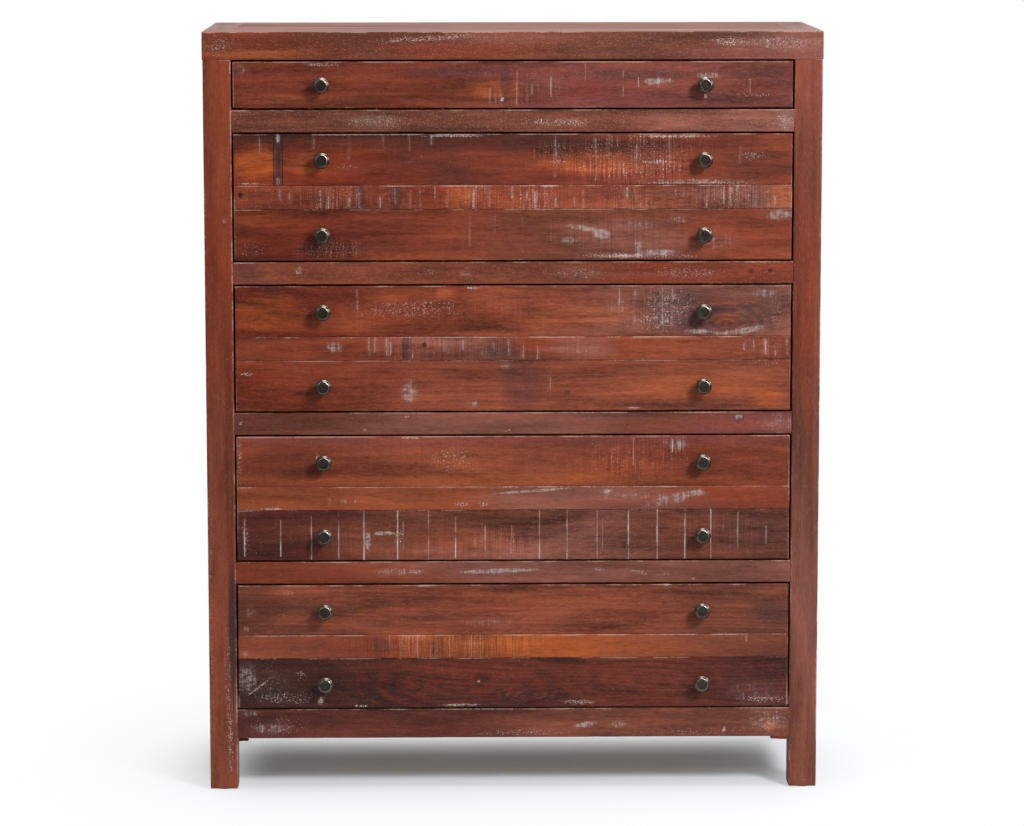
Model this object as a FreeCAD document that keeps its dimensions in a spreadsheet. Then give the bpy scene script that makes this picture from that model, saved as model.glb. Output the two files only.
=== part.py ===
import FreeCAD, Part
import os

import Sketcher
from FreeCAD import Vector

# A tall chest of five drawers in reclaimed timber: one shallow drawer over four deep ones.
# The frame is +X to the right, +Y to the back, +Z up, with the origin on the floor under the
# middle of the chest. Inside each body, y = 0 is the plane of the posts' front faces.

doc = FreeCAD.newDocument("seed_storage_cabinet")

sizes = {
    # case
    "case_width": 1014,
    "case_depth": 405,
    "post_width": 46,
    "post_round": 2,
    "foot_chamfer": 1.5,
    "leg_clearance": 87,
    "bottom_rail_height": 49,
    "front_rail_height": 36.5,
    "rail_thickness": 24,
    "rail_setback": 1,
    "edge_round": 1,
    # joinery
    "tenon_length": 18,
    "tenon_thickness": 12,
    "tenon_shoulder": 4,
    "joint_clearance": 0.2,
    "joint_spare": 1,
    "plank_gap": 0.4,
    # top
    "top_thickness": 45.5,
    "top_overhang": 1,
    "top_front_depth": 101,
    "cleat_width": 48,
    "tongue_length": 12,
    "tongue_thickness": 14,
    "dowel_diameter": 10,
    "dowel_length": 40,
    "dowel_edge_distance": 15.5,
    # sides and back
    "top_side_rail_height": 60,
    "middle_side_rail_height": 50,
    "side_board_thickness": 12,
    "panel_groove_depth": 8,
    "back_rail_thickness": 20,
    "back_board_thickness": 10,
    # foot glides
    "glide_height": 1.6,
    "glide_diameter": 36,
    "glide_shank_diameter": 8,
    "glide_shank_length": 18,
    # drawer fronts
    "drawer_gap": 3,
    "top_front_height": 75.8,
    "front_board_height": 84.2,
    "front_strip_height": 39,
    "front_board_thickness": 20,
    "strip_proud": 1.5,
    # drawer boxes
    "box_side_clearance": 4,
    "box_bottom_margin": 8,
    "box_top_margin": 10,
    "box_rear_clearance": 5,
    "box_side_thickness": 16,
    "box_end_thickness": 14,
    "bottom_rise": 10,
    "bottom_thickness": 6,
    "bottom_groove_depth": 6,
    # runners
    "runner_height": 14,
    "runner_engagement": 7.5,
    "runner_side_slack": 0.5,
    "running_clearance": 0.3,
    "groove_stop_length": 6,
    "runner_screw_edge": 9,
    "runner_screw_diameter": 4,
    "runner_screw_depth": 18,
    "runner_screw_head_diameter": 7.5,
    "runner_screw_head_height": 3,
    # knobs
    "knob_spacing": 627,
    "knob_base_diameter": 18,
    "knob_base_thickness": 3,
    "knob_neck_diameter": 11,
    "knob_neck_length": 10,
    "knob_neck_taper": 3,
    "knob_head_diameter": 27,
    "knob_back_bevel": 5,
    "knob_rim_thickness": 2.5,
    "knob_face_diameter": 18,
    "knob_face_bevel": 3.5,
    "knob_dome": 1,
    "knob_screw_diameter": 4,
    "knob_screw_reach": 12,
    "knob_screw_head_diameter": 8.5,
    "knob_screw_head_height": 2.6,
}

deep_drawer_count = 4
side_plank_count = 3
top_plank_count = 3
back_plank_count = 8
least_cut = 0.5  # mm3, a cut that removes less has missed the solid

sheet = doc.addObject("Spreadsheet::Sheet", "Sizes")
for row, (name, value) in enumerate(sizes.items(), 1):
    sheet.set(f"A{row}", name)
    sheet.set(f"B{row}", str(value))
    sheet.setAlias(f"B{row}", name)
doc.recompute()

# Places that several pieces share, each worked out from the sheet.
layout = doc.addObject("App::VarSet", "Layout")


def add_place(name, formula):
    layout.addProperty("App::PropertyFloat", name, "Places")
    layout.setExpression(name, formula)
    doc.recompute()


add_place("case_half", "Sizes.case_width / 2")
add_place("post_inner", "case_half - Sizes.post_width")
add_place("rear_post_front", "Sizes.case_depth - Sizes.post_width")
add_place("deep_front_height", "2 * Sizes.front_board_height + Sizes.front_strip_height")
add_place("deep_pitch", "deep_front_height + 2 * Sizes.drawer_gap + Sizes.front_rail_height")
add_place("bottom_rail_top", "Sizes.leg_clearance + Sizes.bottom_rail_height")
add_place("first_drawer_bottom", "bottom_rail_top + Sizes.drawer_gap")
add_place("top_drawer_bottom", f"first_drawer_bottom + {deep_drawer_count} * deep_pitch")
add_place("case_top", "top_drawer_bottom + Sizes.top_front_height + Sizes.drawer_gap")
add_place("top_surface", "case_top + Sizes.top_thickness")
add_place("top_half_width", "case_half + Sizes.top_overhang")
add_place("top_front_rear", "Sizes.top_front_depth - Sizes.top_overhang")
add_place("top_rear", "Sizes.case_depth + Sizes.top_overhang")
add_place("top_middle", "case_top + Sizes.top_thickness / 2")
add_place("cleat_inner", "top_half_width - Sizes.cleat_width")
add_place("side_rail_outer", "case_half - Sizes.rail_setback")
add_place("side_rail_inner", "side_rail_outer - Sizes.rail_thickness")
add_place("side_rail_middle", "side_rail_outer - Sizes.rail_thickness / 2")
add_place("front_rail_middle", "Sizes.rail_setback + Sizes.rail_thickness / 2")
add_place("top_side_rail_bottom", "case_top - Sizes.top_side_rail_height")
add_place("middle_rail_centre", "(bottom_rail_top + top_side_rail_bottom) / 2")
add_place("middle_rail_bottom", "middle_rail_centre - Sizes.middle_side_rail_height / 2")
add_place("middle_rail_top", "middle_rail_centre + Sizes.middle_side_rail_height / 2")
add_place("back_rail_rear", "Sizes.case_depth - Sizes.back_board_thickness")
add_place("back_rail_front", "back_rail_rear - Sizes.back_rail_thickness")
add_place("back_rail_middle", "back_rail_rear - Sizes.back_rail_thickness / 2")
add_place("dowel_x", "case_half - Sizes.dowel_edge_distance")
add_place("rear_dowel_y", "Sizes.case_depth - Sizes.dowel_edge_distance")
add_place("front_half_width", "post_inner - Sizes.drawer_gap")
add_place("box_half_width", "post_inner - Sizes.box_side_clearance")
add_place("box_inner_half", "box_half_width - Sizes.box_side_thickness")
add_place("box_rear", "back_rail_front - Sizes.box_rear_clearance")
add_place("box_end_rear", "Sizes.front_board_thickness + Sizes.box_end_thickness")
add_place("box_back_front", "box_rear - Sizes.box_end_thickness")
add_place("bottom_low", "Sizes.box_bottom_margin + Sizes.bottom_rise")
add_place("bottom_high", "bottom_low + Sizes.bottom_thickness")
add_place("bottom_edge_reach", "Sizes.bottom_groove_depth - Sizes.joint_spare")
add_place("groove_end", "Sizes.front_board_thickness + Sizes.groove_stop_length")
add_place("groove_depth", "Sizes.runner_engagement + Sizes.runner_side_slack")
add_place("runner_front", "groove_end + Sizes.running_clearance")
add_place("runner_inner", "box_half_width - Sizes.runner_engagement")
add_place("runner_screw_front", "runner_front + Sizes.runner_screw_edge")
add_place("runner_screw_rear", "back_rail_front - Sizes.runner_screw_edge")
add_place("upper_knob_rise", "Sizes.front_board_height + Sizes.front_strip_height")
add_place("knob_head_back", "Sizes.knob_base_thickness + Sizes.knob_neck_length")
add_place("knob_rim_back", "knob_head_back + Sizes.knob_back_bevel")
add_place("knob_rim_front", "knob_rim_back + Sizes.knob_rim_thickness")
add_place("knob_face", "knob_rim_front + Sizes.knob_face_bevel")
add_place("knob_projection", "knob_face + Sizes.knob_dome")
add_place("front_y", "(knob_projection - Sizes.case_depth - Sizes.top_overhang) / 2")


def drawer_bottom(number_from_top):
    if number_from_top == 1:
        return "Layout.top_drawer_bottom"
    steps = deep_drawer_count + 1 - number_from_top
    return f"(Layout.first_drawer_bottom + {steps} * Layout.deep_pitch)"


drawers = {1: "Sizes.top_front_height"}
for number_from_top in range(2, deep_drawer_count + 2):
    drawers[number_from_top] = "Layout.deep_front_height"

side_rail_levels = {
    "bottom": ("Sizes.leg_clearance", "Layout.bottom_rail_top"),
    "middle": ("Layout.middle_rail_bottom", "Layout.middle_rail_top"),
    "top": ("Layout.top_side_rail_bottom", "Layout.case_top"),
}
left = -1
right = 1
plane_normal = {"XY_Plane": 1, "XZ_Plane": -1, "YZ_Plane": 1}


def number(expression):
    return float(sheet.evalExpression(expression))


def less(expression, amount):
    return f"{expression} - {amount}"


def plus(expression, amount):
    return f"{expression} + {amount}"


def wider(span, amount):
    return less(span[0], amount), plus(span[1], amount)


def narrower(span, amount):
    return plus(span[0], amount), less(span[1], amount)


def about(middle, width):
    return f"{middle} - {width} / 2", f"{middle} + {width} / 2"


def on_side(side, span):
    """A span written for the right-hand side, or its mirror image on the left."""
    if side == right:
        return span
    return f"-({span[1]})", f"-({span[0]})"


def both_ways(half_width):
    return f"-({half_width})", half_width


def make_body(label, bottom="0"):
    body = doc.addObject("PartDesign::Body", label)
    body.setExpression("Placement.Base.y", "Layout.front_y")
    body.setExpression("Placement.Base.z", bottom)
    return body


def make_sketch(body, name, plane, offset):
    sketch = body.newObject("Sketcher::SketchObject", f"{body.Label}_{name}")
    support = next(item for item in body.Origin.OriginFeatures if item.Role == plane)
    sketch.AttachmentSupport = [(support, "")]
    sketch.MapMode = "FlatFace"
    for axis, distance in zip("xyz", offset):
        sketch.setExpression(f"AttachmentOffset.Base.{axis}", distance)
    return sketch


def add_dimension(sketch, constraint, expression):
    index = sketch.addConstraint(constraint)
    sketch.setExpression(f"Constraints[{index}]", expression)


def pin_point(sketch, geometry, point, across, up):
    for kind, expression in (("DistanceX", across), ("DistanceY", up)):
        distance = Sketcher.Constraint(kind, -1, 1, geometry, point, number(expression))
        add_dimension(sketch, distance, expression)


def add_lines(sketch, corners):
    points = [Vector(number(across), number(up), 0) for across, up in corners]
    first = sketch.GeometryCount
    for start, end in zip(points, points[1:] + points[:1]):
        sketch.addGeometry(Part.LineSegment(start, end), False)
    for line in range(len(points)):
        following = (line + 1) % len(points)
        joined = Sketcher.Constraint("Coincident", first + line, 2, first + following, 1)
        sketch.addConstraint(joined)
    return first


def add_rectangle(sketch, across, up):
    low, high = across[0], across[1]
    first = add_lines(sketch, [(low, up[0]), (high, up[0]), (high, up[1]), (low, up[1])])
    for line, direction in enumerate(("Horizontal", "Vertical", "Horizontal", "Vertical")):
        sketch.addConstraint(Sketcher.Constraint(direction, first + line))
    pin_point(sketch, first, 1, low, up[0])
    pin_point(sketch, first + 2, 1, high, up[1])


def add_outline(sketch, corners):
    first = add_lines(sketch, corners)
    for line, (across, up) in enumerate(corners):
        pin_point(sketch, first + line, 1, across, up)


def add_circle(sketch, centre, diameter):
    middle = Vector(number(centre[0]), number(centre[1]), 0)
    circle = Part.Circle(middle, Vector(0, 0, 1), number(diameter) / 2)
    index = sketch.addGeometry(circle, False)
    pin_point(sketch, index, 3, *centre)
    size = Sketcher.Constraint("Diameter", index, number(diameter))
    add_dimension(sketch, size, diameter)


def start_profile(body, name, plane, start):
    """A sketch square to one axis of the part, at a distance along that axis."""
    sign = "" if plane_normal[plane] > 0 else "-"
    return make_sketch(body, name, plane, ("0", "0", f"{sign}({start})"))


def extrude(body, sketch, plane, kind, length):
    """Pad or Pocket that runs from the sketch towards the axis's positive end."""
    feature = body.newObject(f"PartDesign::{kind}", f"{sketch.Name}_{kind.lower()}")
    feature.Profile = sketch
    along_normal = plane_normal[plane] > 0
    feature.Reversed = along_normal if kind == "Pocket" else not along_normal
    feature.setExpression("Length", length)
    sketch.Visibility = False
    doc.recompute()
    return feature


def length_of(span):
    return f"({span[1]}) - ({span[0]})"


def cut_and_check(body, sketch, plane, length):
    doc.recompute()
    before = body.Shape.Volume
    feature = extrude(body, sketch, plane, "Pocket", length)
    if before - body.Shape.Volume < least_cut:
        raise ValueError(f"{feature.Name} removes nothing from {body.Label}")
    return feature


def add_block(body, name, x, y, z):
    sketch = start_profile(body, name, "XY_Plane", z[0])
    add_rectangle(sketch, x, y)
    return extrude(body, sketch, "XY_Plane", "Pad", length_of(z))


def cut_block(body, name, x, y, z):
    sketch = start_profile(body, name, "XY_Plane", z[0])
    add_rectangle(sketch, x, y)
    return cut_and_check(body, sketch, "XY_Plane", length_of(z))


def add_rods(body, name, plane, centres, diameter, along):
    sketch = start_profile(body, name, plane, along[0])
    for centre in centres:
        add_circle(sketch, centre, diameter)
    return extrude(body, sketch, plane, "Pad", length_of(along))


def cut_bores(body, name, plane, centres, diameter, along):
    sketch = start_profile(body, name, plane, along[0])
    for centre in centres:
        add_circle(sketch, centre, diameter)
    return cut_and_check(body, sketch, plane, length_of(along))


def edges_at(feature, direction, **places):
    """Names of the feature's straight edges along one axis that lie at the given places."""
    found = []
    for index, edge in enumerate(feature.Shape.Edges, 1):
        middle = edge.CenterOfMass
        along = edge.tangentAt(edge.FirstParameter)
        runs_that_way = abs(abs(getattr(along, direction)) - 1) < 1e-6
        in_place = all(abs(getattr(middle, axis) - at) < 1e-3 for axis, at in places.items())
        if runs_that_way and in_place:
            found.append(f"Edge{index}")
    return found


def dress_edges(body, base, kind, edges, amount):
    feature = body.newObject(f"PartDesign::{kind}", f"{body.Label}_{kind.lower()}")
    feature.Base = (base, edges)
    feature.setExpression("Radius" if kind == "Fillet" else "Size", amount)
    base.Visibility = False
    doc.recompute()
    if base.Shape.Volume - feature.Shape.Volume < least_cut:
        raise ValueError(f"{feature.Name} takes nothing off {body.Label}")
    return feature


def round_front_edges(body, base, front):
    """Eases the four edges around a board's front face."""
    place = number(front)
    edges = edges_at(base, "x", y=place) + edges_at(base, "z", y=place)
    return dress_edges(body, base, "Fillet", edges, "Sizes.edge_round")


def tenon_span(rail_span, shoulder="Sizes.tenon_shoulder"):
    return narrower(rail_span, shoulder)


def mortise_span(rail_span, shoulder="Sizes.tenon_shoulder"):
    return wider(tenon_span(rail_span, shoulder), "Sizes.joint_clearance")


def rail_levels():
    """The height span of each front rail, from the top one down, and of the bottom rail."""
    levels = {}
    for rail in range(1, deep_drawer_count + 1):
        low = plus(drawer_bottom(rail + 1), "Layout.deep_front_height + Sizes.drawer_gap")
        levels[f"front_rail_{rail}"] = (low, plus(low, "Sizes.front_rail_height"))
    levels["bottom_rail"] = ("Sizes.leg_clearance", "Layout.bottom_rail_top")
    return levels


def runner_centres():
    """The height of each pair of runners: half way up the drawer's front."""
    return [f"({drawer_bottom(index)} + {height} / 2)" for index, height in drawers.items()]


mortise_reach = "Sizes.tenon_length + Sizes.joint_spare"
side_shoulder = "Sizes.panel_groove_depth"  # side tenons stop short of the boards' grooves
tenon_slot = "Sizes.tenon_thickness + 2 * Sizes.joint_clearance"
panel_slot = "Sizes.side_board_thickness + 2 * Sizes.joint_clearance"
panel_levels = ("Layout.bottom_rail_top", "Layout.top_side_rail_bottom")
dowel_bore = "Sizes.dowel_diameter + 2 * Sizes.joint_clearance"
dowel_bore_reach = "Sizes.dowel_length / 2 + Sizes.joint_spare / 2"


def make_post(side, is_front):
    label = f"post_{'front' if is_front else 'rear'}_{'right' if side == right else 'left'}"
    body = make_body(label)
    across = on_side(side, ("Layout.post_inner", "Layout.case_half"))
    if is_front:
        deep = ("0", "Sizes.post_width")
        inner_face = deep[1]
        side_joint = (f"{inner_face} - ({mortise_reach})", inner_face)
        side_groove = (less(inner_face, "Sizes.panel_groove_depth"), inner_face)
        dowel_y = "Sizes.dowel_edge_distance"
        cross_joints = rail_levels()
        cross_middle = "Layout.front_rail_middle"
    else:
        deep = ("Layout.rear_post_front", "Sizes.case_depth")
        inner_face = deep[0]
        side_joint = (inner_face, f"{inner_face} + {mortise_reach}")
        side_groove = (inner_face, plus(inner_face, "Sizes.panel_groove_depth"))
        dowel_y = "Layout.rear_dowel_y"
        cross_joints = side_rail_levels
        cross_middle = "Layout.back_rail_middle"
    blank = add_block(body, "blank", across, deep, ("Sizes.glide_height", "Layout.case_top"))
    foot = number("Sizes.glide_height")
    foot_edges = edges_at(blank, "x", z=foot) + edges_at(blank, "y", z=foot)
    footed = dress_edges(body, blank, "Chamfer", foot_edges, "Sizes.foot_chamfer")
    dress_edges(body, footed, "Fillet", edges_at(footed, "z"), "Sizes.post_round")
    cross_joint = on_side(side, ("Layout.post_inner", f"Layout.post_inner + {mortise_reach}"))
    for name, span in cross_joints.items():
        slot = about(cross_middle, f"({tenon_slot})")
        cut_block(body, f"{name}_mortise", cross_joint, slot, mortise_span(span))
    side_slot = on_side(side, about("Layout.side_rail_middle", f"({tenon_slot})"))
    for name, span in side_rail_levels.items():
        levels = mortise_span(span, side_shoulder)
        cut_block(body, f"side_{name}_mortise", side_slot, side_joint, levels)
    groove = on_side(side, about("Layout.side_rail_middle", f"({panel_slot})"))
    levels = wider(panel_levels, "Sizes.panel_groove_depth")
    cut_block(body, "panel_groove", groove, side_groove, levels)
    dowel_x = "Layout.dowel_x" if side == right else "-Layout.dowel_x"
    top_bore = (f"Layout.case_top - ({dowel_bore_reach})", "Layout.case_top")
    cut_bores(body, "dowel_bore", "XY_Plane", [(dowel_x, dowel_y)], dowel_bore, top_bore)
    middle_x, middle_y = post_centre(side, is_front)
    shank = "Sizes.glide_shank_diameter + 2 * Sizes.joint_clearance"
    low = "Sizes.glide_height"
    high = "Sizes.glide_height + Sizes.glide_shank_length + Sizes.joint_spare"
    cut_bores(body, "glide_bore", "XY_Plane", [(middle_x, middle_y)], shank, (low, high))
    screw_y = "Layout.runner_screw_front" if is_front else "Layout.runner_screw_rear"
    centres = [(screw_y, height) for height in runner_centres()]
    pilot = "Sizes.runner_screw_diameter + 2 * Sizes.joint_clearance"
    depth = "Sizes.runner_screw_depth + Sizes.joint_spare"
    reach = on_side(side, ("Layout.post_inner", f"Layout.post_inner + {depth}"))
    cut_bores(body, "runner_screw_bores", "YZ_Plane", centres, pilot, reach)
    return body


def post_centre(side, is_front):
    across = "(Layout.case_half - Sizes.post_width / 2)"
    deep = "Sizes.post_width / 2"
    if side == left:
        across = f"-{across}"
    if not is_front:
        deep = f"Sizes.case_depth - {deep}"
    return across, deep


def make_cross_rail(label, span):
    """A rail between the front posts, with a stub tenon on each end."""
    body = make_body(label)
    front = "Sizes.rail_setback"
    rear = plus(front, "Sizes.rail_thickness")
    blank = add_block(body, "blank", both_ways("Layout.post_inner"), (front, rear), span)
    edges = edges_at(blank, "x", y=number(front))
    dress_edges(body, blank, "Fillet", edges, "Sizes.edge_round")
    thick = about("Layout.front_rail_middle", "Sizes.tenon_thickness")
    for side in (left, right):
        across = on_side(side, ("Layout.post_inner", "Layout.post_inner + Sizes.tenon_length"))
        name = "tenon_right" if side == right else "tenon_left"
        add_block(body, name, across, thick, tenon_span(span))
    return body


def make_side_rails():
    """Three rails in each side of the case, tenoned into the posts and grooved for boards."""
    body = make_body("side_rails")
    along = ("Sizes.post_width", "Layout.rear_post_front")
    tenons = {
        "front": ("Sizes.post_width - Sizes.tenon_length", "Sizes.post_width"),
        "rear": ("Layout.rear_post_front", "Layout.rear_post_front + Sizes.tenon_length"),
    }
    for side in (left, right):
        hand = "right" if side == right else "left"
        thick = on_side(side, ("Layout.side_rail_inner", "Layout.side_rail_outer"))
        slim = on_side(side, about("Layout.side_rail_middle", "Sizes.tenon_thickness"))
        groove = on_side(side, about("Layout.side_rail_middle", f"({panel_slot})"))
        for name, span in side_rail_levels.items():
            add_block(body, f"{hand}_{name}", thick, along, span)
            levels = tenon_span(span, side_shoulder)
            for end, reach in tenons.items():
                add_block(body, f"{hand}_{name}_{end}_tenon", slim, reach, levels)
            if name != "bottom":
                lower = (span[0], plus(span[0], "Sizes.panel_groove_depth"))
                cut_block(body, f"{hand}_{name}_lower_groove", groove, along, lower)
            if name != "top":
                upper = (less(span[1], "Sizes.panel_groove_depth"), span[1])
                cut_block(body, f"{hand}_{name}_upper_groove", groove, along, upper)
    return body


def plank_span(start, total, count, index):
    """The width span of one of several equal planks with a gap between neighbours."""
    width = f"(({total}) - {count - 1} * Sizes.plank_gap) / {count}"
    low = f"{start} + {index} * ({width} + Sizes.plank_gap)"
    return low, f"{low} + {width}"


def make_side_boards(side):
    """Upright boards in two tiers, held in the grooves of the posts and side rails."""
    body = make_body(f"side_boards_{'right' if side == right else 'left'}")
    thick = on_side(side, about("Layout.side_rail_middle", "Sizes.side_board_thickness"))
    reach = "(Sizes.panel_groove_depth - Sizes.joint_spare)"
    start = f"Sizes.post_width - {reach}"
    total = f"Sizes.case_depth - 2 * Sizes.post_width + 2 * {reach}"
    tiers = {
        "lower": ("Layout.bottom_rail_top", "Layout.middle_rail_bottom"),
        "upper": ("Layout.middle_rail_top", "Layout.top_side_rail_bottom"),
    }
    for tier, span in tiers.items():
        for index in range(side_plank_count):
            deep = plank_span(start, total, side_plank_count, index)
            add_block(body, f"{tier}_{index + 1}", thick, deep, wider(span, reach))
    return body


def make_back_rails():
    body = make_body("back_rails")
    deep = ("Layout.back_rail_front", "Layout.back_rail_rear")
    thick = about("Layout.back_rail_middle", "Sizes.tenon_thickness")
    for name, span in side_rail_levels.items():
        add_block(body, name, both_ways("Layout.post_inner"), deep, span)
        for side in (left, right):
            end = ("Layout.post_inner", "Layout.post_inner + Sizes.tenon_length")
            hand = "right" if side == right else "left"
            add_block(body, f"{name}_{hand}", on_side(side, end), thick, tenon_span(span))
    return body


def make_back_boards():
    """Upright boards let in flush between the rear posts, against the back rails."""
    body = make_body("back_boards")
    deep = ("Layout.back_rail_rear", "Sizes.case_depth")
    tall = ("Sizes.leg_clearance", "Layout.case_top")
    for index in range(back_plank_count):
        total = "2 * Layout.post_inner"
        across = plank_span("-Layout.post_inner", total, back_plank_count, index)
        add_block(body, f"board_{index + 1}", across, deep, tall)
    return body


def make_top_front_board():
    body = make_body("top_front_board")
    across = both_ways("Layout.top_half_width")
    deep = ("-Sizes.top_overhang", "Layout.top_front_rear")
    blank = add_block(body, "blank", across, deep, ("Layout.case_top", "Layout.top_surface"))
    eased = round_front_edges(body, blank, "-Sizes.top_overhang")
    centres = [(x, "Sizes.dowel_edge_distance") for x in ("-Layout.dowel_x", "Layout.dowel_x")]
    along = ("Layout.case_top", f"Layout.case_top + {dowel_bore_reach}")
    cut_bores(body, "dowel_bores", "XY_Plane", centres, dowel_bore, along)
    return eased


def make_top_cleat(side):
    body = make_body(f"top_cleat_{'right' if side == right else 'left'}")
    across = on_side(side, ("Layout.cleat_inner", "Layout.top_half_width"))
    deep = ("Layout.top_front_rear", "Layout.top_rear")
    add_block(body, "blank", across, deep, ("Layout.case_top", "Layout.top_surface"))
    reach = "Layout.cleat_inner + Sizes.tongue_length + Sizes.joint_spare"
    groove = on_side(side, ("Layout.cleat_inner", reach))
    slot = about("Layout.top_middle", "(Sizes.tongue_thickness + 2 * Sizes.joint_clearance)")
    cut_block(body, "tongue_groove", groove, deep, slot)
    centre = ("Layout.dowel_x" if side == right else "-Layout.dowel_x", "Layout.rear_dowel_y")
    along = ("Layout.case_top", f"Layout.case_top + {dowel_bore_reach}")
    cut_bores(body, "dowel_bore", "XY_Plane", [centre], dowel_bore, along)
    return body


def make_top_panel_boards():
    """The boards between the cleats, with a tongue on each end."""
    body = make_body("top_panel_boards")
    thick = ("Layout.case_top", "Layout.top_surface")
    slim = about("Layout.top_middle", "Sizes.tongue_thickness")
    total = "Layout.top_rear - Layout.top_front_rear - Sizes.plank_gap"
    start = "Layout.top_front_rear + Sizes.plank_gap"
    inner = "(Layout.cleat_inner - Sizes.joint_clearance)"
    for index in range(top_plank_count):
        deep = plank_span(start, total, top_plank_count, index)
        add_block(body, f"board_{index + 1}", both_ways(inner), deep, thick)
        for side in (left, right):
            end = on_side(side, (inner, "Layout.cleat_inner + Sizes.tongue_length"))
            hand = "right" if side == right else "left"
            add_block(body, f"board_{index + 1}_tongue_{hand}", end, deep, slim)
    return body


def make_top_dowels():
    body = make_body("top_dowels")
    centres = []
    for x in ("-Layout.dowel_x", "Layout.dowel_x"):
        centres.append((x, "Sizes.dowel_edge_distance"))
        centres.append((x, "Layout.rear_dowel_y"))
    along = about("Layout.case_top", "Sizes.dowel_length")
    add_rods(body, "dowels", "XY_Plane", centres, "Sizes.dowel_diameter", along)
    return body


def make_foot_glides():
    body = make_body("foot_glides")
    centres = [post_centre(side, is_front) for side in (left, right) for is_front in (True, False)]
    pad = ("0", "Sizes.glide_height")
    add_rods(body, "pads", "XY_Plane", centres, "Sizes.glide_diameter", pad)
    shank = ("Sizes.glide_height", "Sizes.glide_height + Sizes.glide_shank_length")
    add_rods(body, "shanks", "XY_Plane", centres, "Sizes.glide_shank_diameter", shank)
    return body


def make_drawer_runners():
    """A hardwood strip on each side for each drawer, screwed to the posts' inner faces."""
    body = make_body("drawer_runners")
    deep = ("Layout.runner_front", "Layout.back_rail_front")
    head_reach = "Sizes.runner_screw_head_height + Sizes.joint_clearance"
    for side in (left, right):
        hand = "right" if side == right else "left"
        thick = on_side(side, ("Layout.runner_inner", "Layout.post_inner"))
        for index, height in enumerate(runner_centres(), 1):
            add_block(body, f"{hand}_{index}", thick, deep, about(height, "Sizes.runner_height"))
        counterbore = on_side(side, ("Layout.runner_inner", f"Layout.runner_inner + {head_reach}"))
        head = "Sizes.runner_screw_head_diameter + 2 * Sizes.joint_clearance"
        bore = "Sizes.runner_screw_diameter + 2 * Sizes.joint_clearance"
        cut_bores(body, f"{hand}_heads", "YZ_Plane", screw_centres(), head, counterbore)
        cut_bores(body, f"{hand}_shanks", "YZ_Plane", screw_centres(), bore, thick)
    return body


def screw_centres():
    places = ("Layout.runner_screw_front", "Layout.runner_screw_rear")
    return [(deep, height) for height in runner_centres() for deep in places]


def make_runner_screws():
    body = make_body("runner_screws")
    face = "(Layout.runner_inner + Sizes.joint_clearance)"
    under_head = f"({face} + Sizes.runner_screw_head_height)"
    tip = "Layout.post_inner + Sizes.runner_screw_depth"
    for side in (left, right):
        hand = "right" if side == right else "left"
        head = on_side(side, (face, under_head))
        shank = on_side(side, (under_head, tip))
        head_size = "Sizes.runner_screw_head_diameter"
        add_rods(body, f"{hand}_heads", "YZ_Plane", screw_centres(), head_size, head)
        shank_size = "Sizes.runner_screw_diameter"
        add_rods(body, f"{hand}_shanks", "YZ_Plane", screw_centres(), shank_size, shank)
    return body


def make_front_board(label, index, front, span, knob_height=None):
    body = make_body(label, drawer_bottom(index))
    across = both_ways("Layout.front_half_width")
    blank = add_block(body, "blank", across, (front, "Sizes.front_board_thickness"), span)
    round_front_edges(body, blank, front)
    if knob_height:
        through = (front, "Sizes.front_board_thickness")
        cut_knob_bores(body, [knob_height], through)
    return body


def cut_knob_bores(body, heights, through):
    bore = "Sizes.knob_screw_diameter + 2 * Sizes.joint_clearance"
    centres = []
    for height in heights:
        centres.append(("-Sizes.knob_spacing / 2", height))
        centres.append(("Sizes.knob_spacing / 2", height))
    cut_bores(body, "knob_bores", "XZ_Plane", centres, bore, through)


def make_drawer_sides(index, box_levels, groove_middle):
    body = make_body(f"drawer_{index}_sides", drawer_bottom(index))
    along = ("Sizes.front_board_thickness", "Layout.box_rear")
    slot = wider(("Layout.bottom_low", "Layout.bottom_high"), "Sizes.joint_clearance")
    runner_slot = "(Sizes.runner_height + 2 * Sizes.running_clearance)"
    bottom_reach = "Layout.box_inner_half + Sizes.bottom_groove_depth"
    for side in (left, right):
        hand = "right" if side == right else "left"
        thick = on_side(side, ("Layout.box_inner_half", "Layout.box_half_width"))
        add_block(body, hand, thick, along, box_levels)
        bottom_groove = on_side(side, ("Layout.box_inner_half", bottom_reach))
        cut_block(body, f"{hand}_bottom_groove", bottom_groove, along, slot)
        groove_low = "Layout.box_half_width - Layout.groove_depth"
        runner_groove = on_side(side, (groove_low, "Layout.box_half_width"))
        deep = ("Layout.groove_end", "Layout.box_rear")
        span = about(groove_middle, runner_slot)
        cut_block(body, f"{hand}_runner_groove", runner_groove, deep, span)
    return body


def make_drawer_ends(index, box_levels, knob_heights):
    body = make_body(f"drawer_{index}_ends", drawer_bottom(index))
    across = both_ways("Layout.box_inner_half")
    slot = wider(("Layout.bottom_low", "Layout.bottom_high"), "Sizes.joint_clearance")
    inner_front = ("Sizes.front_board_thickness", "Layout.box_end_rear")
    add_block(body, "inner_front", across, inner_front, box_levels)
    add_block(body, "back", across, ("Layout.box_back_front", "Layout.box_rear"), box_levels)
    front_groove = (less("Layout.box_end_rear", "Sizes.bottom_groove_depth"), "Layout.box_end_rear")
    back_groove = ("Layout.box_back_front", "Layout.box_back_front + Sizes.bottom_groove_depth")
    cut_block(body, "front_groove", across, front_groove, slot)
    cut_block(body, "back_groove", across, back_groove, slot)
    cut_knob_bores(body, knob_heights, inner_front)
    return body


def make_drawer_bottom(index):
    body = make_body(f"drawer_{index}_bottom", drawer_bottom(index))
    reach = "Layout.bottom_edge_reach"
    across = both_ways(f"Layout.box_inner_half + {reach}")
    deep = wider(("Layout.box_end_rear", "Layout.box_back_front"), reach)
    add_block(body, "panel", across, deep, ("Layout.bottom_low", "Layout.bottom_high"))
    return body


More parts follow.
